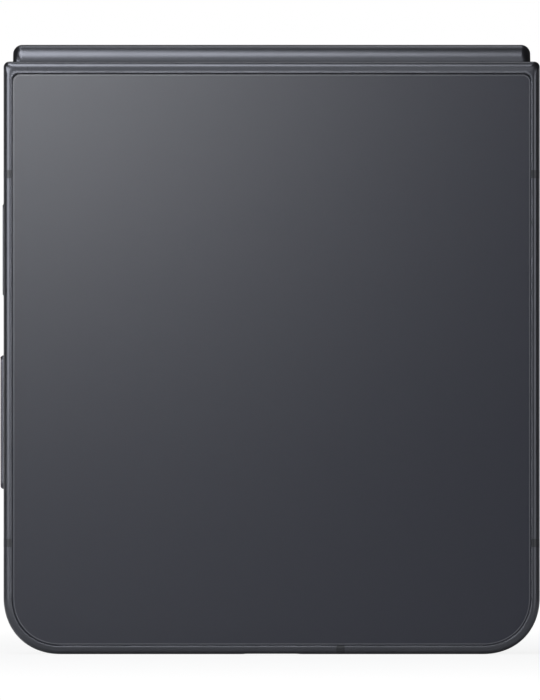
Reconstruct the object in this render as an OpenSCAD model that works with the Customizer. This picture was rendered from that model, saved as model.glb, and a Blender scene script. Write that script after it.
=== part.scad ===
// Folding smartphone, closed and standing on the free edges of its two halves.
// X runs along the hinge, Y through the thickness and Z up to the hinge spine.
// The base half lies at -Y and the cover half at +Y. Each half turns about its own axis
// inside the spine, and a train of four equal gears at each end keeps the two in step.

/* [Body] */
// Width of both halves along the hinge
body_w = 75.2; // [74:0.1:77]
// Height of a half from its free edge to its lip beside the spine
half_h = 83.1; // [82:0.1:85]
// Thickness of one half
half_t = 6.5; // [6.4:0.1:6.8]
// Space between the two closed halves
closed_gap = 0.7; // [0.6:0.1:0.8]
// Radius of the free corners, seen from the front
corner_r = 7.6; // [6:0.1:9]
// Radius of the corners beside the hinge, seen from the front
hinge_corner_r = 0.8; // [0.4:0.1:1]
// Radius of the frame's outer long edges
edge_r = 0.8; // [0.5:0.1:0.9]

/* [Glass] */
// Width of the metal rim at the sides of the outer glass
rim_w = 1.1; // [1:0.05:1.3]
// Height of the metal rim between the outer glass and the hinge
hinge_rim = 1.7; // [1.5:0.1:2]
// Gap between the outer glass and its rim
glass_gap = 0.13; // [0.1:0.01:0.2]
// Thickness of the outer glass
glass_t = 0.6; // [0.5:0.05:0.7]

/* [Hinge] */
// Distance of each half's axis from the middle plane
axis_y = 1.6; // [1.6:0.01:1.62]
// Radius of the spine's two rounded sides about the axes
spine_r = 3.9; // [3.8:0.05:3.9]
// Wall of the spine cover
spine_wall = 0.5; // [0.4:0.05:0.6]
// Length of the spine
spine_len = 72.6; // [72:0.1:72.7]
// Height of the spine's flat top
spine_top = 85.5; // [85.3:0.1:85.6]
// Angle that a support wing leans away from the folded display
wing_lean = 6.5; // [6:0.1:7]

/* [Screen] */
// Thickness of the folding display
display_t = 0.5; // [0.4:0.05:0.5]
// Width of the folding display panel
display_w = 69.2; // [68:0.1:69.2]
// Outer radius of the display's loop when it is folded
loop_r = 1.75; // [1.6:0.01:1.8]

/* [Keys] */
// Height of the middle of the power key
power_z = 56.75; // [56:0.05:58]
// Length of the power key
power_len = 13.1; // [12:0.1:14]
// Height of the middle of the volume key
volume_z = 32.5; // [31:0.1:34]
// Length of the volume key
volume_len = 18.8; // [17:0.1:20]

/* [Hidden] */
$fn = 96;

half_w = body_w / 2;
y_outer = -(closed_gap / 2 + half_t);        // outer face of the base half's glass
glass_proud = 0.05;                          // how far the glass stands out of its frame
adhesive_t = 0.15;                           // thickness of the film under the glass
plate_t = 0.3;                               // thickness of the display's support plate
join = 0.01;                                 // overlap that makes two shapes one
y_frame = y_outer + glass_proud;             // outer edge of the frame
y_inner = -closed_gap / 2;                   // inner face of the base half
y_ledge = y_outer + glass_t + adhesive_t;    // ledge that carries the glass on its adhesive
inner_r = 0.7;                               // radius of the frame's inner long edges
wall_u = 2.2;                                // depth of the rail behind its outer flank
flange_u = 3.4;                              // depth of the flange that carries the midplate
flange_y = [-3.2, -2.4];                     // the flange's two faces
bezel_u = 1;                                 // rim left outside the raised bezel
y_display = -0.55;                           // face of the folding display
y_display_back = y_display - display_t;
y_plate_back = y_display_back - plate_t;     // back of the display's support plate
lip_y = -5;                                  // how far the lip reaches in from the outer face
glass_top = half_h - hinge_rim;
glass_hinge_r = 0.95;                        // the glass's corner radius beside the hinge

axis_drop = 3.75;                            // from the spine's flat top down to the axes
axis_z = spine_top - axis_drop;
cavity_gap = 0.23;                           // clearance between a half and the turning spine
cavity_r = spine_r + cavity_gap;             // hollow in a half that the spine's side turns in
ear_x = 36.45;                               // start of the ears that cover the spine's ends
turn_gap = 0.05;
turn_r = axis_y - turn_gap;                  // a half's inner corner stays inside this radius
bay_z = 72.3;                                // top of everything that isn't a hinge part
trough_z = 75.5;                             // foot of the metal trough beside the spine
trough_y = -2.5;                             // inner face of that trough
skirt_z = axis_z + 0.81;                     // lower end of the spine cover's sides
end_wall_x = 35.9;                           // inner face of the spine's end walls
end_wall_z = axis_z - 0.5;                   // underside of the end walls
pocket_z = 74.2;                             // foot of the pockets that the knuckles stand in
foot_z = 74.4;                               // foot of the knuckles' and arms' plates

gear_r = 0.8;                                // pitch radius of the synchronising gears
gear_teeth = 16;
gear_root_r = 0.68;
gear_tip_r = 0.89;
gear_x = [34.85, 35.85];                     // the gears and knuckles lie between these
base_phase = 15;                             // turn of each gear, so that the teeth mesh
base_idler_phase = 3.75;
cover_idler_phase = 7.5;
cover_phase = 3.75;
idler_y = -gear_r;
idler_z = axis_z + gear_r * sqrt(3);
pin_r = 0.35;
shaft_r = 0.35;
running = 0.05;                              // radial clearance of a turning fit

arm_x = [20, 23];                            // width of a base arm
arm_gap_x = 4;                               // the cover arms lie this much further out
arm_r = [2.5, 2.9];                          // inner and outer radius of an arm's arc
arm_deg = [140, 264];                        // the arc that an arm fills
arm_slot_deg = [46, 190];                    // the arc that the blocks leave free for it
arm_leg_y = [-2.45, -1.8];                   // thickness of an arm's leg
arm_foot = [-1.6, 4.6, 76.6];                // its foot's two ends from x0, and the foot's top
screw_dx = [-0.7, 3.7];                      // the screws' distances from x0
screw_z = 75.5;
screw_r = 0.35;
screw_head_r = 0.55;
screw_head_t = 0.12;
block_x = [19.4, 27.6];
block_z = 82.5;                              // underside of the hinge blocks
notch_z = block_z + 0.25;                    // the arms' legs pass below this when open

wing_w = 68.8;
wing_pivot = [-1.65, 73.1];
wing_t = 0.29;
wing_top = 80.9;
barrel_r = 0.55;
barrel_x = 30.2;
wing_pin_r = 0.25;
wing_pin_x = 33.2;
loop_z = 80.6;
fold_z = 74;                                 // where the display's flexible stretch begins
display_low = 2.7;                           // lower edge of the folding display
display_corner_r = 4.6;
bezel_cover = 3.2;                           // how far in the raised bezel reaches
bezel_top = 81;
bezel_y = [y_display + 0.01, -0.04];         // the raised bezel's two faces
bumper_x = 24.5;
bumper_z = 2.1;
bumper_r = 0.8;
bumper_y = [-0.16, -0.02];                   // the bumpers sit in pockets of the bezel
magnet_x = [27, 33];
magnet_z = [5, 8];

strip_w = 1.15;
strip_depth = 0.8;
strip_z = [15.6, 67.3];
strip_x = 9.65;
usb_y = -4.2;
usb_opening = [8.34, 2.56];
usb_wall = 0.3;
usb_depth = 7.3;
usb_slot = [9.14, 3.36];                     // slot in the frame round the socket
usb_tongue = [6.7, 0.7, 0.9];                // width, thickness and set-back of its tongue
speaker_slot = [1.7, 1];
speaker_x = [for (k = [0 : 4]) 14.5 + 2.6 * k];
mic_x = 14;
mic_r = 0.5;
port_depth = 5;
coil_r = [12, 22];
coil_z = 43;
battery_w = 62;
battery_r = 1.5;
base_battery_z = [17, 70];
cover_battery_z = [44, 70.5];
camera_z = 10.5;
camera_x = [-27.6, -12.4];
camera_ring_r = 6.25;
camera_lens_r = 4.55;
camera_rise = 0.6;
camera_half = 5.4;                           // half width of a camera's square body
camera_barrel_r = 3.6;
flash_x = -3.4;
flash_r = 2;
flash_half = 2.4;
selfie_z = 5.6;
selfie_r = 1.8;
selfie_half = 3.2;
earpiece_slot = [11, 0.5];
earpiece_z = 1.9;
key_y = 3.55;
key_w = 1.9;
key_gap = 0.12;
power_rise = 0.25;
volume_rise = 0.55;
key_foot_t = 0.4;
switch_dz = 6;                               // the volume key's two switches from its middle
tray_z = 28.7;
tray_len = 13.4;
tray_y = 2.95;
tray_w = 1.7;
tray_plate_y = [2.6, 3.3];
tray_half = 5.4;                             // half height of the card tray's plate
pin_hole_z = 5.2;                            // release hole above the tray's middle
pin_hole_r = 0.45;

metal = [0.33, 0.34, 0.37];
steel = [0.7, 0.71, 0.73];
dark = [0.1, 0.1, 0.11];
copper = [0.72, 0.45, 0.25];
board = [0.08, 0.22, 0.16];

// ---- helpers ----

// Extrudes an outline drawn in X and Z from y0 to y1.
module slab(y0, y1) {
    translate([0, y1, 0]) rotate([90, 0, 0]) linear_extrude(y1 - y0) children();
}

// Extrudes an outline drawn in Y and Z from x0 to x1.
module bar(x0, x1) {
    translate([x0, 0, 0]) rotate([90, 0, 90]) linear_extrude(x1 - x0) children();
}

// Moves a piece of the base half into the cover half.
module to_cover() {
    mirror([0, 1, 0]) children();
}

// Repeats a piece at both ends of the hinge.
module both_ends() {
    children();
    mirror([1, 0, 0]) children();
}

// A box given by its lowest and highest corners.
module block(low, high) {
    translate(low) cube(high - low);
}

// A cylinder along X.
module rod(r, x0, x1, y, z) {
    translate([x0, y, z]) rotate([0, 90, 0]) cylinder(r = r, h = x1 - x0);
}

// A cylinder along Y.
module disc(r, x, z, y0, y1) {
    translate([x, y1, z]) rotate([90, 0, 0]) cylinder(r = r, h = y1 - y0);
}

// A panel outline, w wide and from z0 to z1, with round corners below and above.
module panel(w, z0, z1, r_low, r_high) {
    translate([-w / 2, z0 + r_low]) square([w, z1 - z0 - r_low - r_high]);
    translate([-w / 2 + r_low, z0]) square([w - 2 * r_low, r_low + join]);
    translate([-w / 2 + r_high, z1 - r_high - join]) square([w - 2 * r_high, r_high + join]);
    for (s = [-1, 1]) {
        translate([s * (w / 2 - r_low), z0 + r_low]) circle(r_low);
        translate([s * (w / 2 - r_high), z1 - r_high]) circle(r_high);
    }
}

// The slot outline of a key or port, long along its first direction.
module stadium(len, width) {
    square([len - width, width], center = true);
    for (s = [-1, 1]) translate([s * (len - width) / 2, 0]) circle(width / 2);
}

// Section of a side rail: u runs inwards from the flank, the second direction is Y.
module rail_section() {
    difference() {
        union() {
            translate([0, y_frame + edge_r]) square([wall_u, y_inner - inner_r - y_frame - edge_r]);
            translate([edge_r, y_frame]) square([wall_u - edge_r, edge_r + join]);
            translate([inner_r, y_inner - inner_r - join]) square([wall_u - inner_r, inner_r + join]);
            translate([edge_r, y_frame + edge_r]) circle(edge_r);
            translate([inner_r, y_inner - inner_r]) circle(inner_r);
            translate([wall_u - join, flange_y[0]])
                square([flange_u - wall_u + join, flange_y[1] - flange_y[0]]);
        }
        translate([rim_w, y_frame - 1]) square([wall_u, y_ledge - y_frame + 1]);
        translate([bezel_u, y_display]) square([wall_u, 1]);
    }
}

// Everything of a section that lies within strip_depth of the flank.
module rail_skin() {
    intersection() {
        rail_section();
        translate([-1, y_frame - 1]) square([strip_depth + 1, half_t + 2]);
    }
}

module side_run(z0, z1) {
    translate([-half_w, 0, z0]) linear_extrude(z1 - z0) children();
}

module bottom_run(x0, x1) {
    translate([x1, 0, 0]) rotate([0, -90, 0]) linear_extrude(x1 - x0) children();
}

module corner_run() {
    translate([half_w - corner_r, 0, corner_r]) rotate([-90, 0, 0])
        rotate_extrude(angle = 90) translate([corner_r, 0]) mirror([1, 0]) children();
}

// Section of the spine's outline, r about each axis, with its top at z_top.
module spine_section(r, z_top) {
    intersection() {
        union() {
            for (s = [-1, 1]) translate([s * axis_y, axis_z]) circle(r);
            translate([-axis_y, axis_z]) square([2 * axis_y, r]);
        }
        translate([-2 * r, axis_z - 2 * r]) square([4 * r, z_top - axis_z + 2 * r]);
    }
}

// A gear outline with straight-sided teeth, turned by phase degrees.
module gear(phase) {
    step = 360 / gear_teeth;
    flank = [[gear_tip_r, 2.2], [gear_r, 4.3], [gear_root_r, 6.4]];
    rim = concat([for (i = [2 : -1 : 0]) [flank[i][0], -flank[i][1]]], flank);
    polygon([
        for (k = [0 : gear_teeth - 1]) for (p = rim)
            [p[0] * cos(k * step + p[1] + phase), p[0] * sin(k * step + p[1] + phase)]
    ]);
}

// Extrudes an outline upwards from below the free edge, to cut a port.
module port_cut(x, y, depth) {
    translate([x, y, -1]) linear_extrude(depth + 1) children();
}

// ---- pieces that both halves have ----

module half_frame() {
    pocket_gap = [0.2, 0.15];
    difference() {
        union() {
            both_ends() {
                side_run(corner_r, half_h) rail_section();
                corner_run() rail_section();
            }
            bottom_run(-half_w + corner_r, half_w - corner_r) rail_section();
            bar(-half_w + wall_u - join, half_w - wall_u + join) {
                translate([y_ledge, trough_z]) square([trough_y - y_ledge, half_h - trough_z]);
            }
            bar(-half_w + edge_r, half_w - edge_r) {
                translate([y_frame + edge_r, glass_top + glass_gap])
                    square([lip_y - y_frame - edge_r, half_h - glass_top - glass_gap]);
                translate([y_frame, glass_top + glass_gap])
                    square([edge_r + join, half_h - edge_r - glass_top - glass_gap]);
                translate([y_frame + edge_r, half_h - edge_r]) circle(edge_r);
            }
        }
        rod(cavity_r, -ear_x, ear_x, -axis_y, axis_z);
        block([-ear_x, -axis_y, trough_z], [ear_x, 1, half_h + 1]);
        difference() {
            block([-half_w - 1, -axis_y, axis_z], [half_w + 1, 1, half_h + 1]);
            rod(turn_r, -half_w - 2, half_w + 2, -axis_y, axis_z);
        }
        both_ends() hinge_corner_cut();
        both_ends() for (z = strip_z) side_run(z - strip_w / 2, z + strip_w / 2) rail_skin();
        both_ends() block([gear_x[0] - pocket_gap[0], trough_y, pocket_z],
                          [gear_x[1] + pocket_gap[1], 1, half_h + 1]);
    }
}

// Rounds a frame's corner beside the hinge, seen from the front.
module hinge_corner_cut() {
    translate([half_w - hinge_corner_r, 0, half_h - hinge_corner_r]) slab(y_outer - 1, 1) {
        difference() {
            square(2 * hinge_corner_r);
            circle(hinge_corner_r);
        }
    }
}

module half_antenna_strips() {
    both_ends() for (z = strip_z) side_run(z - strip_w / 2, z + strip_w / 2) rail_skin();
}

module outer_glass() {
    inset = rim_w + glass_gap;
    slab(y_outer, y_outer + glass_t)
        panel(body_w - 2 * inset, inset, glass_top, corner_r - inset, glass_hinge_r);
}

// Adhesive film on the ledge, under the edge of the outer glass.
module glass_adhesive() {
    margin = 0.1;
    film_w = 0.7;
    film_r = 0.8;
    out = rim_w + glass_gap + margin;
    bore = out + film_w;
    slab(y_outer + glass_t, y_ledge) difference() {
        panel(body_w - 2 * out, out, glass_top - margin, corner_r - out, film_r);
        panel(body_w - 2 * bore, bore, glass_top - margin - film_w, corner_r - bore, film_r / 2);
    }
}

module half_midplate() {
    lug_x = 30.5;
    lug_top = wing_pivot[1] + 0.6;
    gap = 0.15;
    round_r = [5.2, 0.5];
    press_gap = 0.02;
    magnet_gap = 0.1;
    difference() {
        union() {
            slab(flange_y[1], y_plate_back)
                panel(body_w - 2 * (wall_u + gap), wall_u + gap, bay_z, round_r[0], round_r[1]);
            both_ends() block([lug_x, flange_y[1], bay_z - 1], [wing_pin_x, y_plate_back, lug_top]);
        }
        rod(wing_pin_r + press_gap, -half_w, half_w, wing_pivot[0], wing_pivot[1]);
        both_ends() block([magnet_x[0] - magnet_gap, -3, magnet_z[0] - magnet_gap],
                          [magnet_x[1] + magnet_gap, 0, magnet_z[1] + magnet_gap]);
    }
}

module half_support_plate() {
    inset = 0.2;
    slab(y_plate_back, y_display_back)
        panel(display_w - 2 * inset, display_low + inset, bay_z, display_corner_r - inset, 0.5);
}

module half_display() {
    slab(y_display_back, y_display) panel(display_w, display_low, fold_z, display_corner_r, join);
}

// Raised strip over the display's edge, on three sides.
module half_bezel() {
    end_r = 0.3;
    out = bezel_u + 0.05;
    difference() {
        slab(bezel_y[0], bezel_y[1]) difference() {
            panel(body_w - 2 * out, out, bezel_top, corner_r - out, end_r);
            panel(body_w - 2 * bezel_cover, bezel_cover, bezel_top + 5, corner_r - bezel_cover, end_r);
        }
        both_ends() disc(bumper_r + running, bumper_x, bumper_z, bumper_y[0] - 0.01, 0);
    }
}

module half_bumpers() {
    both_ends() disc(bumper_r, bumper_x, bumper_z, bumper_y[0], bumper_y[1]);
}

module half_magnets() {
    gap = 0.05;
    both_ends() block([magnet_x[0], flange_y[1], magnet_z[0]],
                      [magnet_x[1], y_plate_back - gap, magnet_z[1]]);
}

// Toothed knuckle that turns on the end pin, with the arm that carries it.
module half_knuckles() {
    neck = 0.5;
    foot_top = 77.2;
    both_ends_of_gear() difference() {
        union() {
            bar(gear_x[0], gear_x[1]) translate([-axis_y, axis_z]) children(0);
            block([gear_x[0], -axis_y - neck, foot_z], [gear_x[1], -axis_y + neck, axis_z - neck - 0.05]);
            block([gear_x[0], trough_y + 0.05, foot_z], [gear_x[1], -axis_y, foot_top]);
        }
        rod(pin_r + running, gear_x[0] - 1, gear_x[1] + 1, -axis_y, axis_z);
    }
}

// The two ends carry the same gear section, without mirroring its teeth.
module both_ends_of_gear() {
    children();
    translate([-gear_x[0] - gear_x[1], 0, 0]) children();
}

module half_arms(x0) {
    leg_top = axis_z - arm_r[0] - 0.05;
    arm_w = arm_x[1] - arm_x[0];
    both_ends() difference() {
        union() {
            bar(x0, x0 + arm_w) arm_sector(arm_r[0], arm_r[1], arm_deg[0], arm_deg[1]);
            block([x0, arm_leg_y[0], foot_z], [x0 + arm_w, arm_leg_y[1], leg_top]);
            block([x0 + arm_foot[0], arm_leg_y[0], foot_z], [x0 + arm_foot[1], arm_leg_y[1], arm_foot[2]]);
        }
        for (dx = screw_dx) disc(screw_r + running, x0 + dx, screw_z, -4, 0);
    }
}

// A ring sector about the half's axis, between two angles.
module arm_sector(r0, r1, a0, a1) {
    steps = 24;
    function at(r, a) = [-axis_y + r * cos(a), axis_z + r * sin(a)];
    polygon(concat(
        [for (i = [0 : steps]) at(r1, a0 + (a1 - a0) * i / steps)],
        [for (i = [0 : steps]) at(r0, a1 - (a1 - a0) * i / steps)]
    ));
}

module half_screws(x0) {
    both_ends() for (dx = screw_dx) {
        disc(screw_r, x0 + dx, screw_z, arm_leg_y[0] - 0.04, arm_leg_y[1]);
        disc(screw_head_r, x0 + dx, screw_z, arm_leg_y[1], arm_leg_y[1] + screw_head_t);
    }
}

module half_wing_pin() {
    rod(wing_pin_r, -wing_pin_x, wing_pin_x, wing_pivot[0], wing_pivot[1]);
}

// Support wing, leaning away from the folded display about its own pin.
module half_wing_plate(x0) {
    flat_y = [y_plate_back, y_plate_back + wing_t];
    cut_x = 0.3;
    cut_z = 76.3;
    plate_z = 74.3;
    arm_w = arm_x[1] - arm_x[0];
    translate([0, wing_pivot[0], wing_pivot[1]]) rotate([wing_lean, 0, 0])
        translate([0, -wing_pivot[0], -wing_pivot[1]]) difference() {
            union() {
                rod(barrel_r, -barrel_x, barrel_x, wing_pivot[0], wing_pivot[1]);
                block([-barrel_x, flat_y[0], wing_pivot[1]], [barrel_x, flat_y[1], wing_top]);
                block([-wing_w / 2, flat_y[0], plate_z], [wing_w / 2, flat_y[1], wing_top]);
            }
            rod(wing_pin_r + running, -half_w, half_w, wing_pivot[0], wing_pivot[1]);
            both_ends() block([x0 - cut_x, -3, cut_z], [x0 + arm_w + cut_x, 0, wing_top + 1]);
        }
}

// ---- base half ----

module base_frame() {
    color(metal) difference() {
        half_frame();
        port_cut(0, usb_y, usb_depth) stadium(usb_slot[0], usb_slot[1]);
        for (x = speaker_x) port_cut(x, usb_y, port_depth) stadium(speaker_slot[0], speaker_slot[1]);
        port_cut(-mic_x, usb_y, port_depth) circle(mic_r);
        bottom_run(strip_x - strip_w / 2, strip_x + strip_w / 2) rail_skin();
    }
}

module base_antenna_strips() {
    color(dark) {
        half_antenna_strips();
        bottom_run(strip_x - strip_w / 2, strip_x + strip_w / 2) rail_skin();
    }
}

module rear_glass() {
    color([0.27, 0.275, 0.31]) outer_glass();
}

module rear_glass_adhesive() {
    color(dark) glass_adhesive();
}

module wireless_charging_coil() {
    color(copper) difference() {
        disc(coil_r[1], 0, coil_z, y_ledge + 0.02, -5.8);
        disc(coil_r[0], 0, coil_z, -7, -5);
    }
}

module base_battery() {
    color(dark) slab(-5.7, -2.7)
        panel(battery_w, base_battery_z[0], base_battery_z[1], battery_r, battery_r);
}

module base_midplate() {
    color(metal) half_midplate();
}

module base_support_plate() {
    color(steel) half_support_plate();
}

module inner_display_lower() {
    color("black") half_display();
}

module base_bezel() {
    color(dark) half_bezel();
}

module base_bumpers() {
    color(dark) half_bumpers();
}

module base_magnets() {
    color(steel) half_magnets();
}

module sub_board() {
    color(board) difference() {
        block([-17.5, -4.7, 3.8], [8, -4.1, 15.5]);
        block([-5.2, -5, 0], [5.2, -3, 8.4]);
    }
}

module usb_socket() {
    back_t = 0.6;
    shell = [usb_opening[0] + 2 * usb_wall, usb_opening[1] + 2 * usb_wall];
    tongue_len = usb_depth - usb_tongue[2];
    color(steel) translate([0, usb_y, 0.1]) {
        difference() {
            linear_extrude(usb_depth) stadium(shell[0], shell[1]);
            translate([0, 0, -back_t]) linear_extrude(usb_depth) stadium(usb_opening[0], usb_opening[1]);
        }
        translate([0, 0, usb_depth - tongue_len / 2])
            cube([usb_tongue[0], usb_tongue[1], tongue_len], center = true);
    }
}

module loudspeaker() {
    color(dark) block([10.8, -5.9, 5.2], [31, -2.6, 15.5]);
}

module haptic_motor() {
    color(steel) block([-31, -5.8, 5.2], [-19, -2.7, 15.5]);
}

module base_hinge_knuckles() {
    color(steel) half_knuckles() gear(base_phase);
}

module base_hinge_arms() {
    color(steel) half_arms(arm_x[0]);
}

module base_hinge_screws() {
    color(steel) half_screws(arm_x[0]);
}

module base_wing_pin() {
    color(steel) half_wing_pin();
}

module base_wing_plate() {
    color(steel) half_wing_plate(arm_x[0]);
}

// ---- spine ----

module spine_cover() {
    roof_t = 0.7;
    end_r = 1.3;
    press_gap = 0.02;
    color(metal) difference() {
        intersection() {
            bar(-spine_len / 2, spine_len / 2) spine_section(spine_r, spine_top);
            slab(-10, 10) panel(spine_len, end_wall_z - 1, spine_top, 0.1, end_r);
            block([-40, -10, end_wall_z], [40, 10, 90]);
        }
        bar(-end_wall_x, end_wall_x) spine_section(spine_r - spine_wall, spine_top - roof_t);
        block([-end_wall_x, -10, axis_z - 5], [end_wall_x, 10, skirt_z]);
        for (s = [-1, 1]) rod(pin_r + press_gap, -40, 40, s * axis_y, axis_z);
        for (s = [-1, 1]) rod(shaft_r + running, -40, 40, s * idler_y, idler_z);
        leg_notches();
        end_wall_cut();
        mirror([0, 1, 0]) end_wall_cut();
    }
}

// Trims the end walls so that the frames' troughs pass beside them.
module end_wall_cut() {
    side = 0.65;
    block([-40, -10, axis_z - 5], [40, -axis_y - side, axis_z]);
}

// Room in the spine for the arms' legs when the halves are open.
module leg_notches() {
    gap = 0.2;
    notch_y = 3.6;
    both_ends() {
        block([arm_x[0] - gap, -10, 0], [arm_x[1] + gap, -notch_y, notch_z]);
        translate([arm_gap_x, 0, 0]) block([arm_x[0] - gap, notch_y, 0], [arm_x[1] + gap, 10, notch_z]);
    }
}

module hinge_block() {
    gap = 0.08;
    fit = 0.05;
    block_top = 0.75;
    color(steel) difference() {
        intersection() {
            bar(block_x[0], block_x[1]) spine_section(spine_r - spine_wall - fit, spine_top - block_top);
            block([0, -10, block_z], [40, 10, 90]);
        }
        for (s = [-1, 1]) rod(shaft_r + running, 0, 40, s * idler_y, idler_z);
        arm_slot(arm_x[0], gap);
        to_cover() arm_slot(arm_x[0] + arm_gap_x, gap);
        leg_notches();
    }
}

// Curved slot that an arm slides in, wider than the arm by gap all round.
module arm_slot(x0, gap) {
    bar(x0 - gap, x0 + arm_x[1] - arm_x[0] + gap)
        arm_sector(arm_r[0] - gap, arm_r[1] + gap, arm_slot_deg[0], arm_slot_deg[1]);
}

module hinge_block_left() {
    mirror([1, 0, 0]) hinge_block();
}

module hinge_block_right() {
    hinge_block();
}

module hinge_pins() {
    color(steel) both_ends() for (s = [-1, 1]) rod(pin_r, gear_x[0], spine_len / 2, s * axis_y, axis_z);
}

// Long shaft with a gear at each end.
module sync_shaft(y, phase) {
    half_len = spine_len / 2 - 0.05;
    color(steel) translate([0, y, idler_z]) {
        rod(shaft_r, -half_len, half_len, 0, 0);
        for (x = [-gear_x[1], gear_x[0]]) bar(x, x + gear_x[1] - gear_x[0]) gear(phase);
    }
}

module base_sync_shaft() {
    sync_shaft(idler_y, base_idler_phase);
}

module cover_sync_shaft() {
    sync_shaft(-idler_y, cover_idler_phase);
}

// Folded stretch of the display: two leaning legs and the loop between them.
module inner_display_fold() {
    steps = 24;
    outer = concat(
        [[y_display_back, fold_z]],
        [for (i = [0 : steps]) [-loop_r * cos(180 * i / steps), loop_z + loop_r * sin(180 * i / steps)]],
        [[-y_display_back, fold_z]]
    );
    bore_r = loop_r - display_t;
    inner = concat(
        [[-y_display, fold_z]],
        [for (i = [0 : steps]) [bore_r * cos(180 * i / steps), loop_z + bore_r * sin(180 * i / steps)]],
        [[y_display, fold_z]]
    );
    color("black") bar(-display_w / 2, display_w / 2) polygon(concat(outer, inner));
}

// ---- cover half ----

module cover_frame() {
    color(metal) difference() {
        to_cover() half_frame();
        key_cut(power_z, power_len);
        key_cut(volume_z, volume_len);
        tray_cut();
        port_cut(mic_x, key_y, port_depth) circle(mic_r);
    }
}

// Slot for a key through the rail, with the pocket behind it.
module key_cut(z, len) {
    pocket = [2.3, 5, 2];
    pocket_x = -34;
    translate([-half_w - 1, key_y, z]) rotate([0, 90, 0]) linear_extrude(wall_u + 2)
        stadium(len + 2 * key_gap, key_w + 2 * key_gap);
    block([-half_w + wall_u, pocket[0], z - len / 2 - pocket[2]],
          [pocket_x, pocket[1], z + len / 2 + pocket[2]]);
}

module tray_cut() {
    gap = 0.1;
    translate([half_w - 5, tray_y, tray_z]) rotate([0, 90, 0]) linear_extrude(8)
        stadium(tray_len + 2 * gap, tray_w + 2 * gap);
}

module cover_antenna_strips() {
    color(dark) to_cover() half_antenna_strips();
}

module cover_glass() {
    ring_lap = 0.85;
    flash_gap = 0.15;
    color([0.1, 0.1, 0.12]) difference() {
        to_cover() outer_glass();
        for (x = camera_x) disc(camera_ring_r - ring_lap, x, camera_z, 5, 8);
        disc(flash_r + flash_gap, flash_x, camera_z, 5, 8);
    }
}

module cover_glass_adhesive() {
    color(dark) to_cover() glass_adhesive();
}

module cover_display_panel() {
    face_y = -y_outer - glass_t - 0.02;
    panel_t = 0.48;
    panel_w = 68.6;
    panel_z = [3.8, trough_z - 0.3];
    round_r = [5, 1.2];
    ring_gap = 0.5;
    flash_gap = 0.4;
    color("black") difference() {
        slab(face_y - panel_t, face_y) panel(panel_w, panel_z[0], panel_z[1], round_r[0], round_r[1]);
        for (x = camera_x) disc(camera_ring_r - ring_gap, x, camera_z, 5, 8);
        disc(flash_r + flash_gap, flash_x, camera_z, 5, 8);
    }
}

// Camera body with its lens barrel, behind the cover glass.
module camera(x) {
    body_y = [2.6, 5.5];
    color(dark) {
        block([x - camera_half, body_y[0], camera_z - camera_half],
              [x + camera_half, body_y[1], camera_z + camera_half]);
        disc(camera_barrel_r, x, camera_z, body_y[1] - 0.1, -y_outer + 0.1);
    }
}

module main_camera() {
    camera(camera_x[0]);
}

module wide_camera() {
    camera(camera_x[1]);
}

module camera_rings() {
    neck = 1;
    neck_y = 5.6;
    seat = 0.5;
    seat_y = 0.15;
    color(metal) for (x = camera_x) difference() {
        union() {
            disc(camera_ring_r, x, camera_z, -y_outer + 0.02, -y_outer + camera_rise);
            disc(camera_ring_r - neck, x, camera_z, neck_y, -y_outer + 0.1);
        }
        disc(camera_lens_r - seat, x, camera_z, 5, 9);
        disc(camera_lens_r + 0.05, x, camera_z, -y_outer + seat_y, 9);
    }
}

module camera_lenses() {
    color([0.05, 0.05, 0.08]) for (x = camera_x)
        disc(camera_lens_r, x, camera_z, -y_outer + 0.16, -y_outer + camera_rise - 0.1);
}

module flash_module() {
    color([0.95, 0.93, 0.8]) {
        disc(flash_r, flash_x, camera_z, 5, -y_outer - 0.03);
        block([flash_x - flash_half, 4.2, camera_z - flash_half],
              [flash_x + flash_half, 5.05, camera_z + flash_half]);
    }
}

module main_board() {
    color(board) difference() {
        block([-33, 3.9, 17.5], [33, 4.6, 42]);
        block([-40, 3, 17], [-32.5, 5.4, 45]);
    }
}

module board_shield() {
    color(steel) difference() {
        block([-26, 4.62, 20], [26, 5.6, 40]);
        block([-25.8, 4, 20.2], [25.8, 5.4, 39.8]);
    }
}

module cover_battery() {
    color(dark) slab(2.7, 5.6)
        panel(battery_w, cover_battery_z[0], cover_battery_z[1], battery_r, battery_r);
}

module selfie_hole() {
    gap = 0.25;
    disc(selfie_r + gap, 0, selfie_z, 0, 3);
}

module cover_midplate() {
    color(metal) difference() {
        to_cover() half_midplate();
        selfie_hole();
    }
}

module cover_support_plate() {
    color(steel) difference() {
        to_cover() half_support_plate();
        selfie_hole();
    }
}

module inner_display_upper() {
    color("black") difference() {
        to_cover() half_display();
        selfie_hole();
    }
}

module cover_bezel() {
    color(dark) difference() {
        to_cover() half_bezel();
        translate([0, 0, earpiece_z]) slab(0, 1) stadium(earpiece_slot[0], earpiece_slot[1]);
    }
}

module cover_bumpers() {
    color(dark) to_cover() half_bumpers();
}

module cover_magnets() {
    color(steel) to_cover() half_magnets();
}

module selfie_camera() {
    color(dark) {
        disc(selfie_r, 0, selfie_z, -y_display + 0.05, 3);
        block([-selfie_half, 2.6, selfie_z - 1.9], [selfie_half, 5.2, selfie_z + 2.3]);
    }
}

module earpiece_speaker() {
    color(dark) block([4.5, 2.6, 4.2], [20, 5.2, 9.5]);
}

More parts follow.
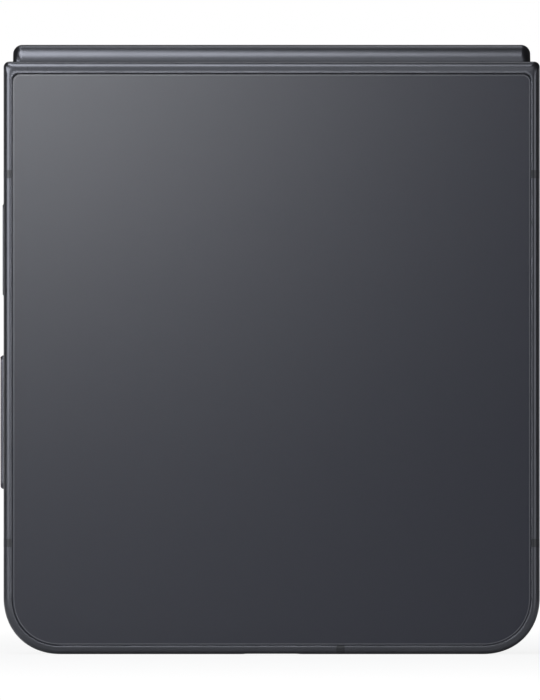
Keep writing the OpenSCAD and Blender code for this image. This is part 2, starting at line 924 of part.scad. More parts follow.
module key_switches() {
    dome_r = 0.9;
    plate_half = [1.1, 2.5];
    strip_half = 1;
    steps_x = [-34.15, -33.8, -33.6, -33.4];
    color(steel) for (z = [power_z, volume_z - switch_dz, volume_z + switch_dz]) {
        translate([steps_x[0], key_y, z]) rotate([0, 90, 0])
            cylinder(r = dome_r, h = steps_x[1] - steps_x[0]);
        block([steps_x[1], key_y - plate_half[0], z - plate_half[1]],
              [steps_x[2], key_y + plate_half[0], z + plate_half[1]]);
    }
    color(copper) block([steps_x[2], key_y - strip_half, 22], [steps_x[3], key_y + strip_half, 62]);
}

module cover_hinge_knuckles() {
    color(steel) to_cover() half_knuckles() gear(cover_phase);
}

module cover_hinge_arms() {
    color(steel) to_cover() half_arms(arm_x[0] + arm_gap_x);
}

module cover_hinge_screws() {
    color(steel) to_cover() half_screws(arm_x[0] + arm_gap_x);
}

module cover_wing_pin() {
    color(steel) to_cover() half_wing_pin();
}

module cover_wing_plate() {
    color(steel) to_cover() half_wing_plate(arm_x[0] + arm_gap_x);
}

// A key: its cap stands out of the rail by rise, and a wider foot holds it in.
module side_key(z, len, rise) {
    chamfer = 0.15;
    foot = 0.8;
    shank = wall_u + 0.3;
    color(metal) {
        translate([-half_w - rise + chamfer, key_y, z]) rotate([0, 90, 0])
            linear_extrude(shank + rise - chamfer) stadium(len, key_w);
        translate([-half_w - rise, key_y, z]) rotate([0, 90, 0])
            linear_extrude(chamfer + 0.1) stadium(len - 2 * chamfer, key_w - 2 * chamfer);
        block([-half_w + shank, key_y - key_w / 2, z - len / 2 - foot],
              [-half_w + shank + key_foot_t, key_y + key_w / 2, z + len / 2 + foot]);
    }
}

module power_key() {
    side_key(power_z, power_len, power_rise);
}

module volume_key() {
    side_key(volume_z, volume_len, volume_rise);
}

// Card tray: a head flush with the rail and a plate that holds the card.
module sim_tray() {
    head_t = 1.95;
    plate_x = 20.5;
    rim = 1;
    card = [9.2, 12.6];
    card_y = 2.75;
    color(metal) difference() {
        union() {
            translate([half_w - head_t - 0.05, tray_y, tray_z]) rotate([0, 90, 0]) linear_extrude(head_t)
                stadium(tray_len, tray_w);
            block([plate_x, tray_plate_y[0], tray_z - tray_half],
                  [half_w - head_t + 0.05, tray_plate_y[1], tray_z + tray_half]);
        }
        block([plate_x + rim, card_y, tray_z - card[0] / 2],
              [plate_x + rim + card[1], tray_plate_y[1] + 1, tray_z + card[0] / 2]);
        translate([half_w - 1, tray_y, tray_z + pin_hole_z]) rotate([0, 90, 0])
            cylinder(r = pin_hole_r, h = 3);
    }
}

base_frame();
base_antenna_strips();
rear_glass();
rear_glass_adhesive();
wireless_charging_coil();
base_battery();
base_midplate();
base_support_plate();
inner_display_lower();
base_bezel();
base_bumpers();
base_magnets();
sub_board();
usb_socket();
loudspeaker();
haptic_motor();
base_hinge_knuckles();
base_hinge_arms();
base_hinge_screws();
base_wing_pin();
base_wing_plate();
spine_cover();
hinge_block_left();
hinge_block_right();
hinge_pins();
base_sync_shaft();
cover_sync_shaft();
inner_display_fold();
cover_frame();
cover_antenna_strips();
cover_glass();
cover_glass_adhesive();
cover_display_panel();
main_camera();
wide_camera();
camera_rings();
camera_lenses();
flash_module();
main_board();
board_shield();
cover_battery();
cover_midplate();
cover_support_plate();
inner_display_upper();
cover_bezel();
cover_bumpers();
cover_magnets();
selfie_camera();
earpiece_speaker();
key_switches();
cover_hinge_knuckles();
cover_hinge_arms();
cover_hinge_screws();
cover_wing_pin();
cover_wing_plate();
power_key();
volume_key();
sim_tray();
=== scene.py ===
"""Looks of a folding smartphone, closed and standing on its two free edges.

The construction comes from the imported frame: this script gives every part of it a finish and
replaces the parts that show with smooth surfaces. Sizes are in millimetres in the classes below
and become metres where a mesh is made. X runs along the hinge, Y through the thickness with the
base half at -Y, and Z up to the hinge spine. Each half turns about its own axis along X, at
HINGE_Z and at HINGE_Y on its own side.
"""

import logging
import math
from collections.abc import Sequence
from dataclasses import dataclass
from enum import Enum

import bmesh
import bpy
import numpy as np
from bpy.types import Material, Node, NodeSocket, NodeTree, NodeTreeInterfaceSocket, Object, ShaderNodeTree
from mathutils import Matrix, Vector

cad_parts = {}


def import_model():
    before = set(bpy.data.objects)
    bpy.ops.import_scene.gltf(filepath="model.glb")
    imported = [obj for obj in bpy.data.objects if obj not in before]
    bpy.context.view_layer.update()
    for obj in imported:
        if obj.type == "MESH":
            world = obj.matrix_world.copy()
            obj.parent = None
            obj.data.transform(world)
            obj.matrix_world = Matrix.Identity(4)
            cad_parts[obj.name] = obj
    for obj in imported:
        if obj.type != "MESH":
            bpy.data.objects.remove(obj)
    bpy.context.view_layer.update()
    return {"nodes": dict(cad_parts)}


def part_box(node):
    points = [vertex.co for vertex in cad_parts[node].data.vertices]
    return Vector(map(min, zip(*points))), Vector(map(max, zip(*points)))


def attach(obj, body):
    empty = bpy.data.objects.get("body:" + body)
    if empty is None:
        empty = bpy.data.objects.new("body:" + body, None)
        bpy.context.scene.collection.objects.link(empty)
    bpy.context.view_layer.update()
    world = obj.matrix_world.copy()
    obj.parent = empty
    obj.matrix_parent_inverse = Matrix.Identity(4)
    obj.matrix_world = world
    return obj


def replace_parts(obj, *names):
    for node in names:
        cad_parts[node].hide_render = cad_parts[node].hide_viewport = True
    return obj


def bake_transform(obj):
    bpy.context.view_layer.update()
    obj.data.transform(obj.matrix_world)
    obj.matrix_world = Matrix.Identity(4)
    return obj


MM = 0.001
TINY = 1e-4
MERGE_DIST = 0.2 * TINY * MM
SMOOTH_DEG = 35.0
HINGE_Y = 1.6
HINGE_Z = 81.75

Pairs = tuple[tuple[float, float], ...]
Triple = tuple[float, float, float]

log = logging.getLogger("phone")


class Half(Enum):
    """The two halves of the phone: the record's body name and the side of Y that it lies on."""

    BASE = ("base_half", 1.0)
    COVER = ("cover_half", -1.0)

    @property
    def body(self) -> str:
        """Name of the rigid body that the half's pieces ride on."""
        return self.value[0]

    @property
    def side(self) -> float:
        """Factor that takes a Y of the base half to this half."""
        return self.value[1]

    @property
    def prefix(self) -> str:
        """First word of the names of this half's pieces."""
        return self.name.lower()


class Corner(Enum):
    """An outline's corners, counter-clockwise: where its unit curve starts, and its sides of X and Z."""

    HIGH_RIGHT = (0, 1, 1)
    HIGH_LEFT = (90, -1, 1)
    LOW_LEFT = (180, -1, -1)
    LOW_RIGHT = (270, 1, -1)


# ---- meshes ----


def make_piece(name: str, points: np.ndarray, faces: list, smooth_deg: float = SMOOTH_DEG) -> Object:
    """Makes an object from points in millimetres, with doubles merged and faces pointing outwards.

    Args:
        name: Name of the object.
        points: Array of shape (n, 3).
        faces: Lists of point numbers.
        smooth_deg: Edges that turn by less than this are shaded smooth.

    Returns:
        The new object, at the origin.
    """
    mesh = bpy.data.meshes.new(name)
    mesh.from_pydata((points * MM).tolist(), [], faces)
    work = bmesh.new()
    work.from_mesh(mesh)
    bmesh.ops.remove_doubles(work, verts=work.verts, dist=MERGE_DIST)
    bmesh.ops.dissolve_degenerate(work, edges=work.edges, dist=MERGE_DIST)
    bmesh.ops.recalc_face_normals(work, faces=work.faces)
    work.to_mesh(mesh)
    work.free()
    piece = bpy.data.objects.new(name, mesh)
    bpy.context.scene.collection.objects.link(piece)
    shade(piece, smooth_deg)
    return piece


def shade(piece: Object, smooth_deg: float = SMOOTH_DEG) -> None:
    """Shades a piece smooth below an angle, and keeps its flat faces flat.

    Args:
        piece: A mesh object.
        smooth_deg: Edges that turn by more than this stay sharp.
    """
    mesh = piece.data
    mesh.polygons.foreach_set("use_smooth", np.ones(len(mesh.polygons), bool))
    mesh.set_sharp_from_angle(angle=math.radians(smooth_deg))
    if not any(change.type == "WEIGHTED_NORMAL" for change in piece.modifiers):
        weighted = piece.modifiers.new("flat_faces", "WEIGHTED_NORMAL")
        weighted.keep_sharp = True
        weighted.weight = 100


def grid_faces(rows: int, columns: int, wrap_rows: bool) -> np.ndarray:
    """Quads between neighbours of a grid whose point (r, c) has number r * columns + c.

    Args:
        rows: Number of rows.
        columns: Number of columns, of which the last joins the first.
        wrap_rows: Whether the last row joins the first.

    Returns:
        Array of shape (n, 4).
    """
    r = np.arange(rows if wrap_rows else rows - 1)[:, None]
    c = np.arange(columns)[None, :]
    r_next, c_next = (r + 1) % rows, (c + 1) % columns
    corners = (r * columns + c, r * columns + c_next, r_next * columns + c_next, r_next * columns + c)
    return np.stack([np.broadcast_to(k, (r.size, c.size)) for k in corners], axis=-1).reshape(-1, 4)


def grid_piece(
    name: str, grid: np.ndarray, wrap_rows: bool = False, smooth_deg: float = SMOOTH_DEG,
) -> Object:
    """Makes a closed piece from a grid of points whose last column joins the first.

    Args:
        name: Name of the object.
        grid: Points in millimetres, of shape (rows, columns, 3).
        wrap_rows: Whether the last row joins the first; otherwise a flat face closes either end.
        smooth_deg: Edges that turn by less than this are shaded smooth.

    Returns:
        The new object.
    """
    rows, columns = grid.shape[:2]
    faces = grid_faces(rows, columns, wrap_rows).tolist()
    if not wrap_rows:
        faces.append(list(range(columns)))
        faces.append(list(range((rows - 1) * columns, rows * columns)))
    return make_piece(name, grid.reshape(-1, 3), faces, smooth_deg)


def merge_pieces(name: str, pieces: Sequence[Object]) -> Object:
    """Joins pieces into the first one and renames it.

    Args:
        name: Name of the joined piece.
        pieces: The pieces to join.

    Returns:
        The joined piece.
    """
    whole = pieces[0]
    with bpy.context.temp_override(
        active_object=whole, selected_objects=list(pieces), selected_editable_objects=list(pieces)
    ):
        bpy.ops.object.join()
    whole.name = name
    whole.data.name = name
    return whole


def cut(piece: Object, cutters: Sequence[Object]) -> None:
    """Subtracts cutters from a piece and removes them.

    Args:
        piece: A closed mesh.
        cutters: Closed meshes.
    """
    for cutter in cutters:
        change = piece.modifiers.new("cut", "BOOLEAN")
        change.operation = "DIFFERENCE"
        change.solver = "EXACT"
        change.object = cutter
        piece.modifiers.move(len(piece.modifiers) - 1, 0)
        with bpy.context.temp_override(object=piece, active_object=piece):
            bpy.ops.object.modifier_apply(modifier=change.name)
        bpy.data.objects.remove(cutter, do_unlink=True)
    shade(piece)


# ---- curves ----


def quarter_turn(start_deg: int, steps: int, power: float = 2.0) -> np.ndarray:
    """Unit corner curve: cosine and sine of 0 to 90 degrees, each to the power 2 / power, then turned.

    Args:
        start_deg: Where the curve starts; a multiple of 90.
        steps: Number of intervals.
        power: 2 gives a circle, more gives a squarer corner.

    Returns:
        Array of shape (steps + 1, 2).
    """
    angle = np.radians(np.linspace(0.0, 90.0, steps + 1))
    a = np.clip(np.cos(angle), 0, 1) ** (2 / power)
    b = np.clip(np.sin(angle), 0, 1) ** (2 / power)
    for _ in range(start_deg // 90):
        a, b = -b, a
    return np.stack([a, b], axis=-1)


def corner_points(
    corner: Corner, half_w: np.ndarray, edge: np.ndarray, radius: np.ndarray, steps: int, power: float
) -> np.ndarray:
    """One corner of several outlines: its centre plus the radius times the unit corner curve.

    Args:
        corner: Which corner it is.
        half_w: Half width of each outline, of shape (n, 1), as the next two.
        edge: Z of the upper or the lower edge that the corner belongs to.
        radius: Radius of the corner.
        steps: Number of intervals.
        power: 2 gives a circle, more gives a squarer corner.

    Returns:
        X and Z of shape (n, steps + 1, 2).
    """
    start_deg, side_x, side_z = corner.value
    unit = quarter_turn(start_deg, steps, power)
    x = side_x * (half_w - radius) + radius * unit[:, 0]
    z = edge - side_z * radius + radius * unit[:, 1]
    return np.stack([x, z], axis=-1)


@dataclass(frozen=True)
class RoundedPanel:
    """Outline in X and Z with its own radius for the lower and the upper corners."""

    half_w: float
    low: float
    high: float
    r_low: float
    r_high: float
    steps: int = 16
    power: float = 2.0

    def rings(self, inset: Sequence[float]) -> np.ndarray:
        """Outlines drawn in by each inset, counter-clockwise from the right side.

        An inset shortens the half width, the height and the radius alike. The power shapes the
        lower corners; the upper ones are circles.

        Args:
            inset: Insets in millimetres, of shape (n,).

        Returns:
            X and Z of shape (n, points, 2).
        """
        inset = np.asarray(inset, float)[:, None]
        half_w = self.half_w - inset
        r_high, r_low = (np.maximum(r - inset, TINY) for r in (self.r_high, self.r_low))
        high, low = self.high - inset, self.low + inset
        return np.concatenate([
            corner_points(Corner.HIGH_RIGHT, half_w, high, r_high, self.steps, 2.0),
            corner_points(Corner.HIGH_LEFT, half_w, high, r_high, self.steps, 2.0),
            corner_points(Corner.LOW_LEFT, half_w, low, r_low, self.steps, self.power),
            corner_points(Corner.LOW_RIGHT, half_w, low, r_low, self.steps, self.power),
        ], axis=1)


def stadium(half_len: float, half_wide: float, steps: int = 10) -> RoundedPanel:
    """Outline of a slot, long along its first direction and centred on the origin."""
    return RoundedPanel(half_len, -half_wide, half_wide, half_wide, half_wide, steps)


def edge_rows(radius: float, steps: int = 4) -> tuple[np.ndarray, np.ndarray]:
    """Inset and depth along a rounded edge: radius * (1 - cos) and radius * (1 - sin) of 0 to 90 degrees.

    Args:
        radius: Radius of the edge.
        steps: Number of intervals.

    Returns:
        The insets and the depths below the face, from the side to the face.
    """
    angle = np.radians(np.linspace(0.0, 90.0, steps + 1))
    return radius * (1 - np.cos(angle)), radius * (1 - np.sin(angle))


def level_of(rings: np.ndarray, level: Sequence[float]) -> np.ndarray:
    """The third direction's value at every point of the rings, from one value for each ring."""
    return np.broadcast_to(np.asarray(level)[:, None, None], rings.shape[:2] + (1,))


def facing_y(rings: np.ndarray, y: Sequence[float]) -> np.ndarray:
    """Places outlines in X and Z at a Y for each ring."""
    return np.concatenate([rings[..., :1], level_of(rings, y), rings[..., 1:]], axis=-1)


def facing_x(rings: np.ndarray, x: Sequence[float], y: float, z: float) -> np.ndarray:
    """Places outlines so that their first direction is Z and their second Y, at an X for each ring."""
    return np.concatenate([level_of(rings, x), rings[..., 1:] + y, rings[..., :1] + z], axis=-1)


def facing_z(rings: np.ndarray, z: Sequence[float], x: float, y: float) -> np.ndarray:
    """Places outlines so that their first direction is X and their second Y, at a Z for each ring."""
    return np.concatenate([rings[..., :1] + x, rings[..., 1:] + y, level_of(rings, z)], axis=-1)


def lathe_y(profile: Sequence[tuple[float, float]], x: float, z: float, steps: int = 48) -> np.ndarray:
    """Surface of revolution about a line along Y: each (radius, y) of the profile turned through 360 degrees.

    Args:
        profile: Pairs of radius and Y.
        x: X of the axis.
        z: Z of the axis.
        steps: Points in each ring.

    Returns:
        Grid of shape (profile points, steps, 3).
    """
    pairs = np.asarray(profile, float)
    angle = np.linspace(0.0, 2 * math.pi, steps, endpoint=False)
    radius = np.maximum(pairs[:, :1], TINY)
    y = np.broadcast_to(pairs[:, 1:], (len(pairs), steps))
    return np.stack([x + radius * np.cos(angle), y, z + radius * np.sin(angle)], axis=-1)


# ---- finishes ----


class Graph:
    """Node tree built from expressions: an input takes a constant or another node's output."""

    def __init__(self, tree: NodeTree) -> None:
        """Keeps the tree."""
        self.tree = tree

    def plug(self, node: Node, inputs: dict) -> None:
        """Gives a node its inputs.

        Args:
            node: A node of the tree.
            inputs: A constant or an output socket for each input's name or number.
        """
        for key, given in inputs.items():
            if isinstance(given, NodeSocket):
                self.tree.links.new(given, node.inputs[key])
            else:
                node.inputs[key].default_value = given

    def add(self, kind: str, inputs: dict | None = None, **settings: object) -> Node:
        """Adds a node.

        Args:
            kind: The node's type, without the word ShaderNode in front.
            inputs: As in plug.
            settings: The node's own properties, which are set before its inputs.

        Returns:
            The node.
        """
        node = self.tree.nodes.new(f"ShaderNode{kind}")
        for key, given in settings.items():
            setattr(node, key, given)
        self.plug(node, inputs or {})
        return node

    def place(self, group: ShaderNodeTree, inputs: dict) -> Sequence[NodeSocket]:
        """Adds a shared group with its own inputs, and returns its outputs."""
        return self.add("Group", inputs, node_tree=group).outputs

    def math(self, operation: str, *inputs: object) -> NodeSocket:
        """Adds one step of arithmetic and returns its result."""
        return self.add("Math", dict(enumerate(inputs)), operation=operation).outputs[0]

    def vector(self, operation: str, *inputs: object) -> NodeSocket:
        """Adds one step of vector arithmetic and returns its result."""
        made = self.add("VectorMath", dict(enumerate(inputs)), operation=operation)
        return made.outputs["Value" if operation == "LENGTH" else "Vector"]

    def mix(self, factor: NodeSocket, first: object, second: object) -> NodeSocket:
        """Mixes two colours, of which the second shows where the factor is 1."""
        colours = {"Factor": factor, "A": first, "B": second}
        return self.add("Mix", colours, data_type="RGBA").outputs["Result"]

    def ramp(
        self, value: NodeSocket, span: tuple[float, float] = (0.0, 1.0),
        to: tuple[float, float] = (0.0, 1.0), smooth: bool = False,
    ) -> NodeSocket:
        """Takes one range of a value to another and holds it there.

        Args:
            value: The value.
            span: Range that it is taken from.
            to: Range that it is taken to.
            smooth: Whether it goes over as a smooth step and not straight.

        Returns:
            The result's socket.
        """
        ends = {"From Min": span[0], "From Max": span[1], "To Min": to[0], "To Max": to[1]}
        kind = "SMOOTHSTEP" if smooth else "LINEAR"
        return self.add("MapRange", {"Value": value, **ends}, interpolation_type=kind).outputs["Result"]


class EffectGroup(Graph):
    """Shader node group that puts out masks and heights, for materials to share."""

    def __init__(
        self, name: str, size_name: str, size: float | Triple,
        outputs: Sequence[str] = ("Mask", "Height"),
    ) -> None:
        """Makes the group with two inputs: Vector, and one for the pattern's size.

        Args:
            name: Name of the group.
            size_name: Name of the input that sets the size.
            size: Its default, a number or a vector.
            outputs: Names of the outputs.
        """
        super().__init__(bpy.data.node_groups.new(name, "ShaderNodeTree"))
        self._socket("Vector", "INPUT", "NodeSocketVector")
        kind = "NodeSocketVector" if isinstance(size, tuple) else "NodeSocketFloat"
        self._socket(size_name, "INPUT", kind).default_value = size
        for label in outputs:
            self._socket(label, "OUTPUT", "NodeSocketFloat")
        self.given = self.tree.nodes.new("NodeGroupInput").outputs
        self.out = self.tree.nodes.new("NodeGroupOutput")

    def _socket(self, label: str, way: str, kind: str) -> NodeTreeInterfaceSocket:
        """Adds a named socket to the group."""
        return self.tree.interface.new_socket(name=label, in_out=way, socket_type=kind)

    def noise(self, vector: object, scale: object, detail: float, roughness: float) -> NodeSocket:
        """Adds a noise and returns its value."""
        inputs = {"Vector": vector, "Scale": scale, "Detail": detail, "Roughness": roughness}
        return self.add("TexNoise", inputs).outputs["Fac"]

    def close(self, **outputs: NodeSocket) -> ShaderNodeTree:
        """Links the outputs that are named and returns the finished group."""
        self.plug(self.out, outputs)
        return self.tree


class Effects:
    """The node groups that several finishes share."""

    def __init__(self) -> None:
        """Builds the groups."""
        self.grain = self._grain()
        self.smudge = self._smudge()
        self.brushed = self._brushed()

    @staticmethod
    def _grain() -> ShaderNodeTree:
        """Fine blasted grain: one noise is its height, and with more contrast its mask.

        Returns:
            The group.
        """
        group = EffectGroup("fine_grain", "Scale", 9000.0)
        noise = group.noise(group.given["Vector"], group.given["Scale"], 2.0, 0.6)
        return group.close(Mask=group.ramp(noise, (0.3, 0.7)), Height=noise)

    @staticmethod
    def _smudge() -> ShaderNodeTree:
        """Broad handling marks: a broad and a fine noise multiplied, so that patches stay rare.

        Returns:
            The group.
        """
        group = EffectGroup("soft_smudge", "Scale", 60.0, ("Mask",))
        vector, scale = group.given["Vector"], group.given["Scale"]
        broad = group.noise(vector, scale, 1.0, 0.4)
        fine = group.noise(vector, group.math("MULTIPLY", scale, 4.7), 4.0, 0.6)
        return group.close(Mask=group.ramp(group.math("MULTIPLY", broad, fine), (0.15, 0.4)))

    @staticmethod
    def _brushed() -> ShaderNodeTree:
        """Ground or rolled metal: noise stretched along one direction.

        Returns:
            The group.
        """
        group = EffectGroup("brushed_lines", "Stretch", (60.0, 4000.0, 4000.0))
        stretched = group.vector("MULTIPLY", group.given["Vector"], group.given["Stretch"])
        noise = group.noise(stretched, 1.0, 3.0, 0.55)
        return group.close(Mask=noise, Height=noise)


class BlankMaterial:
    """What every finish's material starts from: a shader and Object coordinates."""

    def __init__(self, name: str) -> None:
        """Makes the material.

        Args:
            name: Its name.
        """
        self.made = bpy.data.materials.new(name)
        self.made.use_nodes = True
        self.graph = Graph(self.made.node_tree)
        self.shader = self.made.node_tree.nodes["Principled BSDF"]
        self.where = self.graph.add("TexCoord").outputs["Object"]


@dataclass(frozen=True)
class Finish:
    """One surface finish: its colour, gloss, grain and handling marks.

    Handled patches are a little lighter and glossier. A finish with a stretch is brushed, and one
    with a lift is painted paler, as a highlight line, on a band that the mesh marks.
    """

    name: str
    colour: Triple
    metallic: float = 0.0
    roughness: float = 0.5
    rough_spread: float = 0.06
    tint_spread: float = 0.06
    grain_scale: float = 9000.0
    grain_height: float = 0.004
    smudge_scale: float = 60.0
    coat: float = 0.0
    stretch: Triple | None = None
    # colour lift on a band that the mesh marks: a painted highlight line
    edge_highlight_lift: float = 0.0

    COAT_ROUGHNESS = 0.05
    HANDLED_TONE = 1.04
    HANDLED_SHARE = 0.35
    BUMP_STRENGTH = 0.35

    def material(self, effects: Effects) -> Material:
        """Builds the material.

        Args:
            effects: The shared node groups.

        Returns:
            A node material that reads Object coordinates.
        """
        start = BlankMaterial(self.name)
        graph, where = start.graph, start.where
        if self.stretch:
            grain = graph.place(effects.brushed, {"Vector": where, "Stretch": self.stretch})
        else:
            grain = graph.place(effects.grain, {"Vector": where, "Scale": self.grain_scale})
        smudge = graph.place(effects.smudge, {"Vector": where, "Scale": self.smudge_scale})["Mask"]
        bump = graph.add("Bump", {"Strength": self.BUMP_STRENGTH, "Distance": self.grain_height * MM,
                                  "Height": grain["Height"]})
        graph.plug(start.shader, {
            "Base Color": self._colour(graph, grain["Mask"], smudge),
            "Roughness": self._gloss(graph, grain["Mask"], smudge),
            "Normal": bump.outputs["Normal"],
            "Metallic": self.metallic,
            "Coat Weight": self.coat,
            "Coat Roughness": self.COAT_ROUGHNESS,
        })
        return start.made

    def _tone(self, factor: float) -> tuple[float, ...]:
        """The finish's colour, darker or lighter by a factor."""
        return (*(min(1.0, c * factor) for c in self.colour), 1.0)

    def _colour(self, graph: Graph, grain: NodeSocket, smudge: NodeSocket) -> NodeSocket:
        """Mixes a darker and a lighter tone by the grain, and lifts it where handled and on a painted
        highlight band.

        Args:
            graph: The material's nodes.
            grain: Mask of the grain.
            smudge: Mask of the handling marks.

        Returns:
            The socket with the colour.
        """
        light = 1 + self.tint_spread
        tones = graph.mix(grain, self._tone(1 - self.tint_spread), self._tone(light))
        handled = graph.mix(graph.math("MULTIPLY", smudge, self.HANDLED_SHARE), tones,
                            self._tone(light * self.HANDLED_TONE))
        if not self.edge_highlight_lift:
            return handled
        # painted highlight: a paler band along the glass's edge
        painted_highlight = graph.add("Attribute", attribute_name="painted_highlight").outputs["Fac"]
        return graph.mix(painted_highlight, handled, (*(c + self.edge_highlight_lift for c in self.colour), 1.0))

    def _gloss(self, graph: Graph, grain: NodeSocket, smudge: NodeSocket) -> NodeSocket:
        """Roughness that rises with the grain and falls where the surface was handled.

        Args:
            graph: The material's nodes.
            grain: Mask of the grain.
            smudge: Mask of the handling marks.

        Returns:
            The socket with the roughness.
        """
        reach = self.rough_spread / 2
        level = graph.ramp(grain, to=(self.roughness - reach, self.roughness + reach))
        return graph.math("MULTIPLY_ADD", smudge, -reach, level)


@dataclass(frozen=True)
class LensFinish:
    """Coated camera glass: dark at the rim, with a tinted reflection painted into its colour towards its
    middle.
    """

    name: str
    centre: tuple[float, float]
    radius: float
    rim: tuple[float, ...] = (0.004, 0.004, 0.006, 1.0)
    # colour of the painted reflection at the middle
    middle: tuple[float, ...] = (0.02, 0.012, 0.045, 1.0)
    smudge_scale: float = 900.0
    roughness: tuple[float, float] = (0.03, 0.09)

    def material(self, effects: Effects) -> Material:
        """Builds the material: its colour, a painted reflection, follows the distance from the lens's own
        axis.

        Args:
            effects: The shared node groups.

        Returns:
            A node material that reads Object coordinates.
        """
        start = BlankMaterial(self.name)
        graph, where = start.graph, start.where
        x, z = self.centre
        centred = graph.add("Mapping", {"Vector": where, "Location": (-x * MM, 0.0, -z * MM)})
        flat = graph.vector("MULTIPLY", centred.outputs["Vector"], (1.0, 0.0, 1.0))
        share = graph.ramp(graph.vector("LENGTH", flat), (0.0, self.radius * MM), smooth=True)
        smudge = graph.place(effects.smudge, {"Vector": where, "Scale": self.smudge_scale})["Mask"]
        graph.plug(start.shader, {
            # painted reflection: tinted in the middle, dark towards the rim
            "Base Color": graph.mix(share, self.middle, self.rim),
            "Roughness": graph.ramp(smudge, to=self.roughness),
            "Coat Weight": 1.0,
            "Coat Roughness": 0.02,
            "Specular IOR Level": 0.7,
        })
        return start.made


class Palette:
    """Every finish of the phone, built once."""

    FINISHES = {
        "frame": Finish("slate_anodised", (0.1, 0.102, 0.113), metallic=1.0, roughness=0.32,
                        grain_scale=14000.0, grain_height=0.003),
        # the rear glass's edge band is painted paler, as a highlight line
        "rear_glass": Finish("satin_slate_glass", (0.0148, 0.016, 0.0248), roughness=0.22,
                             rough_spread=0.01, tint_spread=0.03, grain_scale=22000.0,
                             grain_height=0.0003, smudge_scale=35.0, edge_highlight_lift=0.055),
        "cover_glass": Finish("polished_black_glass", (0.006, 0.006, 0.008), roughness=0.07,
                              rough_spread=0.03, grain_height=0.0002, smudge_scale=45.0),
        "display": Finish("dark_display", (0.004, 0.004, 0.005), roughness=0.12, rough_spread=0.04,
                          grain_height=0.0004, smudge_scale=40.0),
        "antenna": Finish("antenna_resin", (0.022, 0.023, 0.027), roughness=0.32, grain_scale=12000.0),
        "bezel": Finish("moulded_black", (0.012, 0.012, 0.014), roughness=0.45, grain_scale=7000.0,
                        grain_height=0.006),
        "rubber": Finish("soft_rubber", (0.018, 0.018, 0.019), roughness=0.8, grain_scale=5000.0,
                         grain_height=0.01),
        "port": Finish("nickel_shell", (0.5, 0.49, 0.47), metallic=1.0, roughness=0.28),
        "gold": Finish("gold_contacts", (0.75, 0.52, 0.2), metallic=1.0, roughness=0.3),
        "mesh": Finish("speaker_mesh", (0.01, 0.01, 0.01), metallic=0.5, roughness=0.6,
                       grain_scale=5200.0, grain_height=0.05),
        "steel": Finish("ground_steel", (0.48, 0.48, 0.49), metallic=1.0, roughness=0.34,
                        rough_spread=0.12, tint_spread=0.1, stretch=(300.0, 9000.0, 9000.0)),
        "plate": Finish("cast_magnesium", (0.3, 0.31, 0.33), metallic=0.9, grain_scale=4000.0,
                        grain_height=0.02),
        "cell": Finish("battery_foil", (0.045, 0.045, 0.05), metallic=0.3, roughness=0.4,
                       grain_scale=2500.0, grain_height=0.02, smudge_scale=120.0),
        "board": Finish("solder_mask", (0.012, 0.05, 0.03), roughness=0.35, grain_scale=3000.0, coat=0.3),
        "copper": Finish("copper_winding", (0.72, 0.36, 0.18), metallic=1.0, roughness=0.3,
                         rough_spread=0.15, tint_spread=0.2, stretch=(3000.0, 50.0, 3000.0)),
        "flash": Finish("flash_diffuser", (0.85, 0.78, 0.5), roughness=0.25, grain_scale=3000.0, coat=0.8),
        "barrel": Finish("camera_barrel", (0.01, 0.01, 0.011), roughness=0.4, grain_scale=8000.0),
    }
    NODE_FINISH = {
        "frame": ["base_frame", "cover_frame", "spine_cover", "power_key", "volume_key", "sim_tray",
                  "camera_rings"],
        "antenna": ["base_antenna_strips", "cover_antenna_strips"],
        "rear_glass": ["rear_glass"],
        "cover_glass": ["cover_glass", "camera_lenses"],
        "display": ["inner_display_lower", "inner_display_upper", "inner_display_fold",
                    "cover_display_panel"],
        "bezel": ["base_bezel", "cover_bezel", "loudspeaker", "earpiece_speaker"],
        "rubber": ["base_bumpers", "cover_bumpers", "rear_glass_adhesive", "cover_glass_adhesive"],
        "port": ["usb_socket", "board_shield", "key_switches"],
        "copper": ["wireless_charging_coil"],
        "cell": ["base_battery", "cover_battery"],
        "board": ["sub_board", "main_board"],
        "flash": ["flash_module"],
        "barrel": ["main_camera", "wide_camera", "selfie_camera"],
        "plate": ["base_midplate", "cover_midplate"],
        "steel": [
            "haptic_motor", "hinge_block_left", "hinge_block_right", "hinge_pins",
            *(f"{half}_{part}" for half in ("base", "cover") for part in (
                "support_plate", "magnets", "hinge_knuckles", "hinge_arms", "hinge_screws", "wing_pin",
                "wing_plate", "sync_shaft")),
        ],
    }

    def __init__(self) -> None:
        """Builds the shared effects and one material for each finish."""
        self.effects = Effects()
        self.made = {key: finish.material(self.effects) for key, finish in self.FINISHES.items()}

    def dress(self, piece: Object, key: str) -> Object:
        """Gives a new piece its finish.

        Args:
            piece: The piece.
            key: Name of the finish.

        Returns:
            The piece.
        """
        piece.data.materials.clear()
        piece.data.materials.append(self.made[key])
        return piece

    def dress_nodes(self, nodes: dict) -> None:
        """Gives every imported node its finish.

        Args:
            nodes: The frame's nodes by name.
        """
        for key, names in self.NODE_FINISH.items():
            for name in names:
                for place in nodes[name].material_slots:
                    place.material = self.made[key]
        log.info("dressed %d packed nodes", len(nodes))


# ---- the two halves ----


